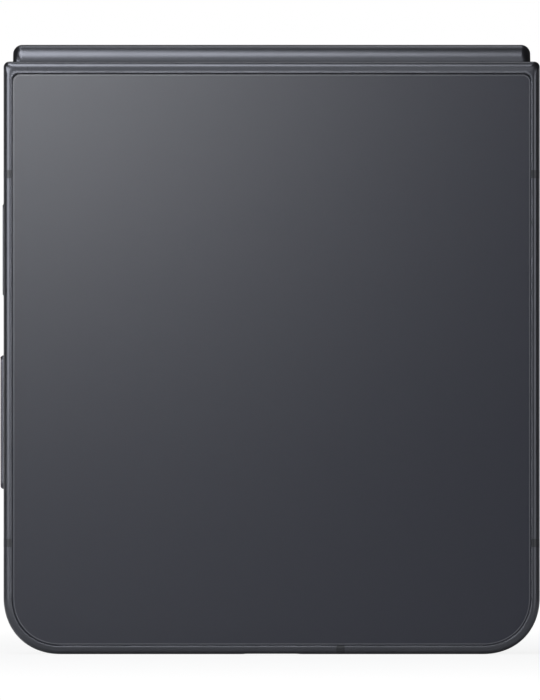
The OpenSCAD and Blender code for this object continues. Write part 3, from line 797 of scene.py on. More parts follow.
@dataclass
class Shell:
    """Sizes that the pieces of both halves share, for the base half.

    A size ending in _u runs inwards from the outline, and one ending in _y through the thickness.
    The free corners follow a superellipse of corner_power. The outer edge is a quarter of an
    ellipse, longer along the lip. The glass lies in a recess, rim wide at the free sides and
    hinge_rim wide beside the hinge, and a band along its edge is painted paler as a highlight line.
    Beside the hinge the lip goes round the spine as an arc of cavity_r about the hinge axis.
    """

    half_w: float
    height: float
    y_face: float
    corner_r: float = 8.1
    corner_power: float = 2.157
    hinge_corner_r: float = 0.8
    edge_u: float = 1.05
    edge_y: float = 1.4
    lip_edge_u: float = 1.5
    inner_r: float = 0.7
    rim: float = 1.2
    ledge: float = 0.05
    hinge_rim: float = 1.67
    hinge_gap: float = 0.12
    glass_hinge_r: float = 1.1
    bezel_inset: float = 1.0
    wall: float = 1.14
    chamfer: float = 0.02
    y_inner: float = -0.35
    y_shelf: float = -0.55
    glass_gap: float = 0.07
    glass_t: float = 0.6
    glass_bed: float = 0.15
    glass_edge: float = 0.03
    # band along the glass's edge, from and to an inset, painted paler as a highlight line
    highlight_band: tuple[float, float] = (0.11, 0.25)
    glass_low: float = 0.05
    ear_x: float = 36.45
    cavity_r: float = 4.13
    lip_deg: float = 17.6

    @property
    def y_frame(self) -> float:
        """Outer edge of the metal, just below the glass."""
        return self.y_face + self.glass_low

    @property
    def y_ledge(self) -> float:
        """Ledge that the glass lies on."""
        return self.y_face + self.glass_t + self.glass_bed


@dataclass(frozen=True)
class Opening:
    """Slot with a flared mouth: in the free edge, along X, or in a flank, along Z.

    Along is its middle's X or Z, and flank the flank's side of X, or 0 for the free edge. A
    mouth's points are its inset and its depth below the outside.
    """

    half_len: float
    half_wide: float
    along: float
    y: float
    flank: int = 0

    MIC_R = 0.5
    EDGE_MOUTH = ((-0.4, -0.28), (-0.12, 0.0), (0.0, 0.12), (0.0, 3.0))
    FLANK_MOUTH = ((-0.3, -0.25), (-0.05, 0.0), (0.0, 0.05), (0.0, 3.0))

    @classmethod
    def microphone(cls, x: float, y: float) -> "Opening":
        """A microphone's round hole in the free edge."""
        return cls(cls.MIC_R, cls.MIC_R - TINY, x, y)

    def cutter(self, half_w: float) -> Object:
        """Makes the solid that cuts the slot: its outline, wider towards the outside.

        Args:
            half_w: Half width of the frame, where a flank lies.

        Returns:
            The cutter.
        """
        outline = stadium(self.half_len, self.half_wide)
        inset, depth = np.array(self.FLANK_MOUTH if self.flank else self.EDGE_MOUTH).T
        if self.flank:
            grid = facing_x(outline.rings(inset), self.flank * (half_w - depth), self.y, self.along)
        else:
            grid = facing_z(outline.rings(inset), depth, self.along, self.y)
        return grid_piece("cutter", grid)


@dataclass
class HalfFrame:
    """Metal frame of one half: a rail on three sides, the lip beside the hinge, and antenna strips."""

    half: Half
    shell: Shell
    openings: Sequence[Opening]
    hinge_steps: int = 8
    free_steps: int = 40
    inner_steps: int = 8
    edge_steps: int = 14
    lip_edge: Pairs = ((0.03, 0.02), (0.0, 0.06), (0.0, 0.08))
    strip_z: tuple[float, float] = (15.6, 67.3)
    strip_x: float = 9.65
    strip_half: float = 0.575
    strip_proud: float = 0.006
    strip_deep: float = 0.3

    SHELF_POINTS = 4

    def _rail(self) -> tuple[np.ndarray, np.ndarray]:
        """Depth and Y of the rail's section from the bezel's shelf to the outer flank.

        Returns:
            Two arrays: shelf, rim, quarter circle of radius inner_r and the flank.
        """
        s = self.shell
        turn_u, turn_d = edge_rows(s.inner_r, self.inner_steps)
        shelf_u = [s.wall, s.bezel_inset + s.chamfer, s.bezel_inset, s.bezel_inset, s.bezel_inset - s.chamfer]
        shelf_y = [s.y_shelf, s.y_shelf, s.y_shelf + s.chamfer, s.y_inner - s.chamfer, s.y_inner]
        return np.concatenate([shelf_u, turn_u[::-1]]), np.concatenate([shelf_y, s.y_inner - turn_d[::-1]])

    def _lip(self, count: int) -> tuple[np.ndarray, np.ndarray]:
        """Depth and Y of the lip's section: an arc about the hinge axis, then its small top edge.

        Args:
            count: Number of points, as many as the rail's section has.

        Returns:
            Two arrays.
        """
        s = self.shell
        edge_u, edge_back = np.array(self.lip_edge).T
        angle = np.radians(np.linspace(180 + s.lip_deg, 180 - s.lip_deg, count - len(edge_u)))
        y = -HINGE_Y + s.cavity_r * np.cos(angle)
        u = s.height - (HINGE_Z + s.cavity_r * np.sin(angle))
        return np.concatenate([u, edge_u]), np.concatenate([y, y[-1] - edge_back])

    def _outer(self) -> tuple[np.ndarray, np.ndarray]:
        """Depth and Y of the outer edge, a quarter of an ellipse from the flank to the face of the rim."""
        turn_u, turn_d = edge_rows(1.0, self.edge_steps)
        return self.shell.edge_u * turn_u, self.shell.y_frame + self.shell.edge_y * turn_d

    def _columns(
        self, half_w: np.ndarray, low: np.ndarray, high: np.ndarray, r_low: np.ndarray, r_high: np.ndarray,
        ear: np.ndarray,
    ) -> np.ndarray:
        """Outline points of every row: four corners, and two columns at each ear on the top edge.

        At the ears the rail's section ends and the lip's starts.

        Args:
            half_w: Half width of each row, of shape (n, 1), as the other sizes.
            low: Lowest Z.
            high: Highest Z.
            r_low: Radius of the free corners.
            r_high: Radius of the corners beside the hinge.
            ear: X of the ears' inner faces.

        Returns:
            X and Z of shape (n, columns, 2).
        """
        power = self.shell.corner_power
        ears = [np.stack([x, high * np.ones_like(x)], axis=-1) for x in (ear, ear, -ear, -ear)]
        return np.concatenate([
            corner_points(Corner.HIGH_RIGHT, half_w, high, r_high, self.hinge_steps, 2.0),
            *ears,
            corner_points(Corner.HIGH_LEFT, half_w, high, r_high, self.hinge_steps, 2.0),
            corner_points(Corner.LOW_LEFT, half_w, low, r_low, self.free_steps, power),
            corner_points(Corner.LOW_RIGHT, half_w, low, r_low, self.free_steps, power),
        ], axis=1)

    def _body(self) -> Object:
        """The whole frame as one closed surface, its section carried round the outline.

        The section's depth u draws the outline in by u, and along the top its outer edge by more. The
        corners beside the hinge go over from the flank's radius to the glass's. Between the ears the
        section is the lip's, and from the outer edge on both have the same rows. Behind the glass the
        recess's ledge runs inwards, and the section closes below it.

        Returns:
            The frame without its openings.
        """
        s = self.shell
        rail_u, rail_y = self._rail()
        lip_u, lip_y = self._lip(len(rail_u))
        out_u, out_y = self._outer()
        u = np.concatenate([rail_u, out_u])[:, None]
        top_u = np.concatenate([rail_u, out_u * s.lip_edge_u / s.edge_u])[:, None]
        rounder = s.hinge_corner_r + (s.glass_hinge_r - s.hinge_corner_r) * out_u / s.rim
        r_high = np.concatenate([np.maximum(s.hinge_corner_r - rail_u, TINY), rounder])[:, None]
        ear = np.minimum(s.ear_x, s.half_w - u - r_high)
        rings = self._columns(s.half_w - u, u, s.height - top_u, s.corner_r - u, r_high, ear)
        grid = facing_y(rings, np.concatenate([rail_y, out_y]))
        inner, lip = slice(len(rail_u)), slice(self.hinge_steps + 2, self.hinge_steps + 4)
        grid[inner, lip, 0] = s.ear_x, -s.ear_x
        grid[inner, lip, 1] = lip_y[:, None]
        grid[inner, lip, 2] = (s.height - lip_u)[:, None]
        reach = np.array([[s.rim + s.ledge]])
        square = np.array([[TINY]])
        back = facing_y(self._columns(s.half_w - reach, reach, s.height - reach, s.corner_r - reach,
                                      square, s.half_w - reach - square), [s.y_ledge])
        back[0, lip, 2] = s.height - lip_u[0]
        under = grid[:1].copy()
        under[..., 1] = s.y_ledge + 2 * (s.rim + s.ledge - s.wall)
        grid = np.concatenate([grid, self._recess_rows(), back, under], axis=0)
        grid[..., 1] *= self.half.side
        return grid_piece(f"{self.half.prefix}_frame_metal", grid, wrap_rows=True)

    def _recess_rows(self) -> np.ndarray:
        """Rows of the glass's recess: rim, small chamfer, and wall down to the ledge.

        Returns:
            Grid of shape (3, columns, 3).
        """
        s = self.shell
        inset = np.array([[-s.chamfer], [0.0], [0.0]])
        half_w = s.half_w - s.rim - inset
        r_high = s.glass_hinge_r - inset
        ear = (half_w - r_high) * (s.ear_x / (s.half_w - s.hinge_corner_r))
        rows = self._columns(half_w, s.rim + inset, s.height - s.hinge_rim - inset,
                             s.corner_r - s.rim - inset, r_high, ear)
        return facing_y(rows, [s.y_frame, s.y_frame + s.chamfer, s.y_ledge])

    def _strips(self) -> list[Object]:
        """Antenna strips: the rail's own section, a hair proud, between two heights or two X.

        Returns:
            Two strips in each flank, and one in the base half's free edge.
        """
        s = self.shell
        proud = self.strip_proud
        rail_u, rail_y = (points[self.SHELF_POINTS:] for points in self._rail())
        out_u, out_y = self._outer()
        rim_u, shelf_u = s.rim - s.chamfer, s.bezel_inset - s.chamfer
        u = np.concatenate([rail_u - proud, out_u - proud, [rim_u, rim_u, shelf_u]])
        y = np.concatenate([rail_y, out_y - proud, [s.y_frame - proud, s.y_frame + self.strip_deep,
                                                    s.y_inner - self.strip_deep]])
        y[0] += proud  # the first point stands proud of the inner face, towards the other half
        y *= self.half.side
        ends = np.array([[-self.strip_half], [self.strip_half]])

        def run(x: np.ndarray, z: np.ndarray) -> Object:
            """One strip, the section between its two ends."""
            return grid_piece("strip", np.stack(np.broadcast_arrays(x, y, z), axis=-1))

        made = [run(sign * (s.half_w - u), z + ends) for sign in (-1, 1) for z in self.strip_z]
        if self.half is Half.BASE:
            made.append(run(self.strip_x + ends, u))
        return made

    def build(self, palette: Palette) -> None:
        """Makes the frame and its strips, cuts its openings and dresses them.

        Args:
            palette: The finishes.
        """
        body = self._body()
        cut(body, [opening.cutter(self.shell.half_w) for opening in self.openings])
        strips = merge_pieces(f"{self.half.prefix}_strips", self._strips())
        shade(strips)
        palette.dress(body, "frame")
        palette.dress(strips, "antenna")
        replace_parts(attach(body, self.half.body), f"{self.half.prefix}_frame")
        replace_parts(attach(strips, self.half.body), f"{self.half.prefix}_antenna_strips")
        log.info("%s frame: %d faces, %d openings", self.half.prefix, len(body.data.polygons),
                 len(self.openings))


@dataclass
class OuterGlass:
    """Outer glass of one half: a flat plate with a rounded edge and, beside it, a paler band painted as a
    highlight line.

    The node and the finish both have the glass's name.
    """

    half: Half
    shell: Shell
    name: str
    holes: Sequence[Triple] = ()
    steps: int = 24
    edge_steps: int = 5
    highlight_fade: float = 0.01
    hole_reach: float = 1.0

    def build(self, palette: Palette) -> None:
        """Makes the plate, with a hole for each (x, z, radius) of holes.

        Args:
            palette: The finishes.
        """
        s = self.shell
        side_inset = s.rim + s.glass_gap
        outline = RoundedPanel(s.half_w - side_inset, side_inset, s.height - s.hinge_rim - s.hinge_gap,
                               s.corner_r - side_inset, s.glass_hinge_r, self.steps, s.corner_power)
        inset, depth = edge_rows(s.glass_edge, self.edge_steps)
        start, end = s.highlight_band
        inset = np.concatenate([[0.0], inset, [start, start + self.highlight_fade, end - self.highlight_fade, end]])
        y = (s.y_face + np.concatenate([[s.glass_t], depth, np.zeros(4)])) * self.half.side
        plate = grid_piece(f"{self.name}_plate", facing_y(outline.rings(inset), y))
        # marks the band whose colour is painted paler as a highlight line
        on_highlight = (inset > start) & (inset < end)
        marks = np.repeat(on_highlight.astype(np.float32), len(plate.data.vertices) // len(inset))
        plate.data.attributes.new("painted_highlight", "FLOAT", "POINT").data.foreach_set("value", marks)
        inner_y, outer_y = s.y_face + s.glass_t + self.hole_reach, s.y_face - self.hole_reach
        ends = inner_y * self.half.side, outer_y * self.half.side
        cut(plate, [grid_piece("cutter", lathe_y([(r, end) for end in ends], x, z))
                    for x, z, r in self.holes])
        palette.dress(plate, self.name)
        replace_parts(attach(plate, self.half.body), self.name)
        log.info("%s: %d holes", self.name, len(self.holes))


@dataclass
class Bezel:
    """Raised rim over the edge of the folding display, with its soft stops.

    Towards its ends the rim's height falls as a quarter circle of radius end_r, down to low_share.
    """

    half: Half
    shell: Shell
    foot_y: float = -0.53
    crown_y: float = -0.04
    outer_u: float = 1.06
    inner_u: float = 3.2
    edge_r: float = 0.12
    end_r: float = 0.4
    end_z: float = 81.0
    low_share: float = 0.15
    corner_steps: int = 24
    stop_x: float = 24.5
    stop_z: float = 2.1
    stop_profile: Pairs = (
        (0.78, -0.14), (0.78, -0.05), (0.7, -0.034), (0.45, -0.024), (0.0, -0.02))

    def _rim(self) -> Object:
        """The rim: its section carried down one side, along the free edge and up the other side.

        Returns:
            The rim.
        """
        s = self.shell
        turn_u, turn_d = edge_rows(self.edge_r)
        outer, inner, foot = [self.outer_u], [self.inner_u], [self.foot_y]
        u = np.concatenate([outer, self.outer_u + turn_u, self.inner_u - turn_u[::-1], inner])[:, None]
        y = np.concatenate([foot, self.crown_y - turn_d, self.crown_y - turn_d[::-1], foot])[:, None]
        from_end = edge_rows(self.end_r, 8)[0]
        fall = np.sqrt(np.maximum(self.end_r**2 - (self.end_r - from_end)**2, 0.0)) / self.end_r
        half_w, radius = s.half_w - u, s.corner_r - u
        side_x = np.broadcast_to(half_w, (len(u), len(fall)))
        side_z = np.broadcast_to(self.end_z - from_end, side_x.shape)
        rings = np.concatenate([
            np.stack([-side_x, side_z], axis=-1),
            corner_points(Corner.LOW_LEFT, half_w, u, radius, self.corner_steps, s.corner_power),
            corner_points(Corner.LOW_RIGHT, half_w, u, radius, self.corner_steps, s.corner_power),
            np.stack([side_x, side_z[:, ::-1]], axis=-1),
        ], axis=1)
        share = np.concatenate([fall, np.ones(2 * self.corner_steps + 2), fall[::-1]])
        depth = (self.foot_y + (y - self.foot_y) * np.maximum(share, self.low_share)) * self.half.side
        grid = np.stack([rings[..., 0], depth, rings[..., 1]], axis=-1)
        return grid_piece(f"{self.half.prefix}_bezel_rim", np.swapaxes(grid, 0, 1))

    def _stops(self) -> Object:
        """Two domed stops on the rim beside the free edge.

        Returns:
            Both as one piece.
        """
        profile = [(r, y * self.half.side) for r, y in self.stop_profile]
        stops = [grid_piece("stop", lathe_y(profile, sign * self.stop_x, self.stop_z, 32))
                 for sign in (-1, 1)]
        return merge_pieces(f"{self.half.prefix}_stops", stops)

    def build(self, palette: Palette) -> None:
        """Makes the rim and the stops and dresses them.

        Args:
            palette: The finishes.
        """
        rim = palette.dress(self._rim(), "bezel")
        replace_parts(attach(rim, self.half.body), f"{self.half.prefix}_bezel")
        stops = palette.dress(self._stops(), "rubber")
        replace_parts(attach(stops, self.half.body), f"{self.half.prefix}_bumpers")
        log.info("%s bezel built", self.half.prefix)


# ---- hinge ----


@dataclass
class Spine:
    """Hinge spine: two rounded sides about the halves' axes, a flat top and rounded ends.

    It is hollow to within wall of its surface and wall_x along X, and a lug below either end
    carries the hinge pins.
    """

    radius: float = 3.9
    top: float = 85.5
    soften: float = 0.045
    half_len: float = 36.3
    end_r: float = 1.3
    wall: float = 0.5
    wall_x: float = 35.9
    lug_y: float = 2.25
    lug_drop: float = 0.5
    lug_rise: float = 1.25
    lug_gap: float = 0.05
    lug_r: tuple[float, float] = (0.3, 0.1)
    skirt_deg: float = 164.8
    hollow_deg: float = 25.0
    crowding: float = 1.2

    def _section(self, inset: np.ndarray, skirt_deg: float) -> np.ndarray:
        """Section drawn in by each inset: an arc about each axis that runs softly into the flat top.

        With z the height on the arc and k = soften, the height is top - k log(1 + exp((top - z) / k)).
        The points crowd towards the top by the power crowding.

        Args:
            inset: Insets, of shape (n,).
            skirt_deg: Angle about the base side's axis where the section starts.

        Returns:
            Y and Z of shape (n, points, 2), from the base side's skirt to the cover side's.
        """
        radius = self.radius - inset[:, None]
        top = self.top - inset[:, None]
        share = 1 - (1 - np.linspace(0.0, 1.0, 49)) ** self.crowding
        angle = np.radians(skirt_deg + (90.0 - skirt_deg) * share)
        y = -HINGE_Y + radius * np.cos(angle)
        arc_z = HINGE_Z + radius * np.sin(angle)
        z = top - self.soften * np.logaddexp(0.0, (top - arc_z) / self.soften)
        base = np.stack([y, z], axis=-1)
        return np.concatenate([base, base[:, ::-1] * (-1.0, 1.0)], axis=1)

    def _run(self, name: str, x: np.ndarray, rings: np.ndarray) -> Object:
        """Carries a closed section, one for each X, along the spine."""
        return grid_piece(name, np.concatenate([level_of(rings, x), rings], axis=-1))

    def _hull(self) -> Object:
        """The cover as a solid: the section carried along X.

        Over the last end_r the section is drawn in by end_r - sqrt(end_r^2 - d^2), where d is the
        distance into the rounding.

        Returns:
            The solid.
        """
        d = self.end_r * np.sin(np.radians(np.linspace(0.0, 90.0, 17)))
        inset = self.end_r - np.sqrt(np.maximum(self.end_r**2 - d**2, 0.0))
        x = self.half_len - self.end_r + d
        section = self._section(np.concatenate([inset[::-1], inset]), self.skirt_deg)
        return self._run("spine_shell", np.concatenate([-x[::-1], x]), section)

    def _lug(self, sign: int) -> Object:
        """Lug below one closed end, round at its lower corners, in which the hinge pins sit.

        Args:
            sign: Side of X that the end lies on.

        Returns:
            The lug.
        """
        outline = RoundedPanel(self.lug_y, HINGE_Z - self.lug_drop, HINGE_Z + self.lug_rise, *self.lug_r, 6)
        x = sign * np.array([self.wall_x, self.half_len - self.lug_gap])
        return self._run("lug", x, outline.rings([0.0, 0.0]))

    def build(self, palette: Palette) -> None:
        """Makes the cover as a solid hull, hollows it, and adds the two lugs.

        Args:
            palette: The finishes.
        """
        hull = self._hull()
        hollow = self._section(np.full(2, self.wall), self.skirt_deg + self.hollow_deg)
        cut(hull, [self._run("cutter", np.array([-self.wall_x, self.wall_x]), hollow)])
        whole = merge_pieces("spine_shell", [hull, self._lug(-1), self._lug(1)])
        shade(whole)
        palette.dress(whole, "frame")
        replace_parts(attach(whole, "spine"), "spine_cover")
        log.info("spine built, %d faces", len(whole.data.polygons))


@dataclass
class FoldingDisplay:
    """Folding display: two sheets that meet at the middle and are folded at the hinge.

    Each sheet is laid out flat, as when the phone is open, and then folded back for the rest pose.
    A row at distance v along the sheet turns about its half's axis by its share w of 90 degrees.
    Its widely spaced rows end, and its fine ones start, lead_in before the bend. The upper sheet
    has a window for the inner camera. A strip on either side closes the fold's end over the gears.
    """

    camera_z: float
    half_w: float = 34.6
    border_x: float = 36.25
    border_gap: float = 0.02
    low: float = 2.7
    flat_z: float = 12.0
    corner_r: float = 4.6
    surface: float = 1.05
    thickness: float = 0.1
    meet: float = 1.6
    bend_start: float = -3.2
    lead_in: tuple[float, float] = (1.0, 0.5)
    lean: tuple[float, float] = (1.0, 0.3)
    rows: int = 90
    shares: int = 400
    window_r: float = 1.9
    window_y: tuple[float, float] = (0.2, 1.5)

    def _ends(self) -> tuple[float, float]:
        """Projections on the lean direction where the bend starts and where it ends."""
        dy, dz = self.lean
        return self.surface * dy + self.bend_start * dz, self.meet * dy - self.surface * dz

    def _fold(self, depth: float, along: np.ndarray) -> tuple[np.ndarray, np.ndarray]:
        """Rest position of flat points, as Y and Z from the hinge axis.

        With p = (depth, along) and the share w of a right angle, the folded point is
        (depth cos + along sin, along cos - depth sin). The blend takes w as the smooth step of the
        folded point's projection on the lean direction, so along is first worked out for several
        values of w from that projection, and then w is read back for each row.

        Args:
            depth: Distance from the axis to the surface across the sheet.
            along: Distance from the axis along the flat sheet.

        Returns:
            Y and Z of the folded points, relative to the axis.
        """
        dy, dz = self.lean
        t = np.linspace(0.0, 1.0, self.shares)
        w = t * t * (3 - 2 * t)
        sin, cos = np.sin(np.radians(90.0) * w), np.cos(np.radians(90.0) * w)
        first, last = self._ends()
        reach = first + (last - first) * t
        flat_along = (reach - depth * (dy * cos - dz * sin)) / (dy * sin + dz * cos)
        angle = np.radians(90.0) * np.interp(along, np.maximum.accumulate(flat_along), w)
        return depth * np.cos(angle) + along * np.sin(angle), along * np.cos(angle) - depth * np.sin(angle)

    def _folded(self, name: str, half: Half, length: np.ndarray, x: np.ndarray) -> Object:
        """Folds a flat sheet with its front and back surface.

        Args:
            name: Name of the piece.
            half: The half that the sheet belongs to.
            length: Z of each row of the flat sheet.
            x: X of every point, of shape (rows, columns).

        Returns:
            The folded sheet, closed at its edges.
        """
        flat = np.broadcast_to((length - HINGE_Z)[:, None], x.shape)
        layers = []
        for depth in (self.surface, self.surface - self.thickness):
            y, z = self._fold(depth, flat)
            layers.append(np.stack([x, (y - HINGE_Y) * half.side, HINGE_Z + z], axis=-1))
        front, back = layers
        return grid_piece(name, np.concatenate([front, back[:, ::-1]], axis=1), smooth_deg=60.0)

    def _sheet(self, half: Half) -> Object:
        """One half's sheet, with rounded corners at its free end.

        At distance v above the lower edge a corner draws the side in by r - sqrt(r^2 - (r - v)^2).

        Args:
            half: The half that the sheet belongs to.

        Returns:
            The folded sheet.
        """
        length = np.concatenate([
            self.low + edge_rows(self.corner_r, 16)[0],
            np.linspace(self.flat_z, HINGE_Z + self.bend_start - self.lead_in[0], 8),
            HINGE_Z + np.linspace(self.bend_start - self.lead_in[1], self.meet, self.rows),
        ])
        corner = np.maximum(self.low + self.corner_r - length, 0.0)
        half_w = self.half_w - self.corner_r + np.sqrt(np.maximum(self.corner_r**2 - corner**2, 0.0))
        x = half_w[:, None] * np.linspace(-1.0, 1.0, 25)[None, :]
        return self._folded(f"{half.prefix}_display_sheet", half, length, x)

    def _border(self, half: Half) -> Object:
        """One half's two border strips.

        Args:
            half: The half that the strips belong to.

        Returns:
            Both as one piece.
        """
        length = HINGE_Z + np.linspace(self.bend_start, self.meet, self.rows)
        x = np.broadcast_to(np.linspace(self.half_w + self.border_gap, self.border_x, 5), (self.rows, 5))
        strips = [self._folded("border", half, length, sign * x) for sign in (-1, 1)]
        return merge_pieces(f"{half.prefix}_fold_border", strips)

    def build(self, palette: Palette) -> None:
        """Makes both sheets and bends each one between its half and the spine.

        Args:
            palette: The finishes.
        """
        lower, upper = self._sheet(Half.BASE), self._sheet(Half.COVER)
        window = [(self.window_r, y) for y in self.window_y]
        cut(upper, [grid_piece("cutter", lathe_y(window, 0.0, self.camera_z))])
        borders = self._border(Half.BASE), self._border(Half.COVER)
        for sheet in (lower, upper):
            palette.dress(sheet, "display")
        for strips in borders:
            palette.dress(strips, "rubber")
        for sheet in (lower, borders[0]):
            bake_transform(sheet)
        for sheet in (upper, borders[1]):
            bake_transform(sheet)
        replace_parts(lower, "inner_display_lower", "inner_display_fold")
        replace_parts(upper, "inner_display_upper")


# ---- small parts ----


@dataclass(frozen=True)
class Key:
    """One key: its piece, node and body, its middle and half length, and its rise out of the flank."""

    piece: str
    node: str
    body: str
    z: float
    half_len: float
    rise: float


@dataclass
class SideKeys:
    """The two keys in the cover half's left flank.

    The bevel gives the inset and the drop below the cap's face, from the cap's side to its face.
    """

    y: float = 3.55
    half_wide: float = 0.95
    gap: float = 0.1
    flank: float = -37.6
    root: float = 2.4
    bevel: Pairs = (
        (0.0, 0.33), (0.02, 0.28), (0.035, 0.26), (0.185, 0.06), (0.2, 0.04), (0.23, 0.012), (0.28, 0.0))
    keys: tuple[Key, ...] = (
        Key("power_cap", "power_key", "power_button", 56.75, 6.55, 0.25),
        Key("volume_cap", "volume_key", "volume_button", 32.5, 9.4, 0.55),
    )

    def openings(self) -> list[Opening]:
        """The slots in the flank that the keys stand in."""
        return [Opening(key.half_len + self.gap, self.half_wide + self.gap, key.z, self.y, flank=-1)
                for key in self.keys]

    def _cap(self, key: Key) -> Object:
        """A key's cap: a slot outline with a broad bevel, carried out of the flank by its rise.

        Args:
            key: The key.

        Returns:
            The cap, which reaches root inwards from the flank.
        """
        inset, drop = np.array([(0.0, key.rise + self.root), *self.bevel]).T
        rings = stadium(key.half_len, self.half_wide, 12).rings(inset)
        return grid_piece(key.piece, facing_x(rings, self.flank - key.rise + drop, self.y, key.z))

    def build(self, palette: Palette) -> None:
        """Makes both caps and rides each on its own body.

        Args:
            palette: The finishes.
        """
        for key in self.keys:
            cap = palette.dress(self._cap(key), "frame")
            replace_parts(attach(cap, key.body), key.node)
            log.info("%s at %.1f mm", key.piece, key.z)


@dataclass
class CardTray:
    """Card tray: a head flush with the right flank, with its pinhole, and the open plate behind it.

    The plate and its card pocket are given by their middle X, their half sizes along X and Z,
    their corner radius and the Y between which they lie.
    """

    y: float = 2.95
    z: float = 28.7
    flank: float = 37.6
    half_len: float = 6.7
    half_wide: float = 0.85
    gap: float = 0.08
    sunk: float = 0.02
    edge_r: float = 0.08
    head_deep: float = 2.0
    pin_r: float = 0.45
    pin_rise: float = 5.2
    pin_x: tuple[float, float] = (36.4, 38.5)
    plate: tuple = (28.2, (7.7, 5.4), 0.8, (2.6, 3.3))
    pocket: tuple = (27.8, (6.3, 4.6), 0.5, (2.75, 4.0))

    def opening(self) -> Opening:
        """The slot in the flank that the head closes."""
        return Opening(self.half_len + self.gap, self.half_wide + self.gap, self.z, self.y, flank=1)

    def _head(self) -> Object:
        """The head: a slot outline with a rounded edge, and its pinhole.

        Returns:
            The head.
        """
        inset, depth = edge_rows(self.edge_r)
        x = self.flank - self.sunk - np.concatenate([[self.head_deep], depth])
        rings = stadium(self.half_len, self.half_wide, 12).rings([0.0, *inset])
        head = grid_piece("head", facing_x(rings, x, self.y, self.z))
        pinhole = stadium(self.pin_r, self.pin_r - TINY, 8).rings([0.0, 0.0])
        cut(head, [grid_piece("cutter", facing_x(pinhole, self.pin_x, self.y, self.z + self.pin_rise))])
        return head

    def _slab(
        self, name: str, x: float, half: tuple[float, float], radius: float, y: tuple[float, float]
    ) -> Object:
        """Flat slab with rounded corners, at the tray's middle height, between two Y."""
        outline = RoundedPanel(half[0], self.z - half[1], self.z + half[1], radius, radius, 6)
        return grid_piece(name, facing_y(outline.rings([0.0, 0.0]) + np.array([x, 0.0]), y))

    def build(self, palette: Palette) -> None:
        """Makes the head and the plate with its card pocket.

        Args:
            palette: The finishes.
        """
        head = self._head()
        plate = self._slab("plate", *self.plate)
        cut(plate, [self._slab("cutter", *self.pocket)])
        tray = merge_pieces("card_tray_head", [head, plate])
        shade(tray)
        palette.dress(tray, "frame")
        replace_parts(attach(tray, "card_tray"), "sim_tray")
        log.info("card tray built")


@dataclass
class Cameras:
    """The two outer cameras with their rings, the flash beside them, and the inner camera.

    The bore of a ring gives the radius beyond the lens and the height over the glass.
    """

    z: float = 10.5
    x: tuple[float, float] = (-27.6, -12.4)
    y_glass: float = 6.85
    ring_r: float = 6.25
    ring_h: float = 0.6
    ring_edge: float = 0.3
    ring_foot: float = 0.02
    bore: Pairs = (
        (0.55, 0.6), (0.42, 0.57), (0.12, 0.3), (0.02, 0.26), (0.02, 0.02))
    seat: float = 0.6
    lens_r: float = 4.6
    lens_low: float = 0.1
    lens_rim: float = 0.3
    lens_dome: float = 0.14
    # radius of the lens's painted reflection
    lens_reflection_r: float = 2.6
    round_steps: int = 96
    flash_x: float = -3.4
    flash_r: float = 2.0
    flash_gap: float = 0.12
    flash_deep: float = 0.5
    flash_sunk: float = 0.07
    ridge_h: float = 0.03
    ridge_pitch: float = 0.8
    inner_z: float = 5.6
    # radius of the inner lens's painted reflection
    inner_reflection_r: float = 0.8
    inner_profile: Pairs = (
        (1.85, 1.4), (1.85, 0.66), (1.5, 0.62), (1.1, 0.66), (0.9, 0.62), (0.5, 0.59), (0.0, 0.58))

    def holes(self) -> list[Triple]:
        """Holes in the glass under the rings and round the flash, as (x, z, radius)."""
        return [*((x, self.z, self.ring_r - self.seat) for x in self.x),
                (self.flash_x, self.z, self.flash_r + self.flash_gap)]

    def _ring(self, x: float) -> Object:
        """Turned metal ring: foot on the glass, rounded outer edge, flat crown and bevel down to the lens.

        Args:
            x: X of its axis.

        Returns:
            The ring.
        """
        crown = self.y_glass + self.ring_h
        outer = [(self.ring_r - u, crown - d) for u, d in zip(*edge_rows(self.ring_edge, 6))]
        inner = [(self.lens_r + out, self.y_glass + up) for out, up in self.bore]
        foot = (self.ring_r - self.ring_foot, self.y_glass + self.ring_foot)
        grid = lathe_y([foot, *outer, *inner], x, self.z, self.round_steps)
        return grid_piece("ring", grid, wrap_rows=True)

    def _lens(self, name: str, x: float) -> Object:
        """Lens window: a low dome, whose height is that of a quarter ellipse.

        Args:
            name: Name of the piece.
            x: X of its axis.

        Returns:
            The window.
        """
        rim = self.y_glass + self.lens_rim
        crown = [(self.lens_r * math.sin(a), rim + self.lens_dome * math.cos(a))
                 for a in np.linspace(math.pi / 2, 0, 14)]
        low = (self.lens_r, self.y_glass + self.lens_low)
        return grid_piece(name, lathe_y([low, *crown], x, self.z, self.round_steps))

    def _flash(self) -> Object:
        """Flash window: concentric ridges whose height is a rectified wave of the radius.

        Returns:
            The window.
        """
        radius = np.linspace(self.flash_r, 0.0, 40)
        ridges = self.ridge_h * np.abs(np.sin(radius * 2 * math.pi / self.ridge_pitch))
        profile = [(self.flash_r, self.y_glass - self.flash_deep),
                   *zip(radius, self.y_glass - self.flash_sunk + ridges)]
        return grid_piece("flash_window", lathe_y(profile, self.flash_x, self.z))

    def build(self, palette: Palette) -> None:
        """Makes rings, lenses, flash window and the inner camera's lens.

        Args:
            palette: The finishes.
        """
        rings = merge_pieces("camera_ring_pair", [self._ring(x) for x in self.x])
        palette.dress(rings, "frame")
        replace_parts(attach(rings, Half.COVER.body), "camera_rings")
        for index, x in enumerate(self.x):
            lens = self._lens(f"camera_lens_{index}", x)
            finish = LensFinish(f"coated_lens_{index}", (x, self.z), self.lens_reflection_r)
            lens.data.materials.append(finish.material(palette.effects))
            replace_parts(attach(lens, Half.COVER.body), "camera_lenses")
        window = palette.dress(self._flash(), "flash")
        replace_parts(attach(window, Half.COVER.body), "flash_module")
        inner = grid_piece("inner_camera_lens", lathe_y(self.inner_profile, 0.0, self.inner_z))
        finish = LensFinish("coated_inner_lens", (0.0, self.inner_z), self.inner_reflection_r)
        inner.data.materials.append(finish.material(palette.effects))
        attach(inner, Half.COVER.body)
        log.info("cameras built")


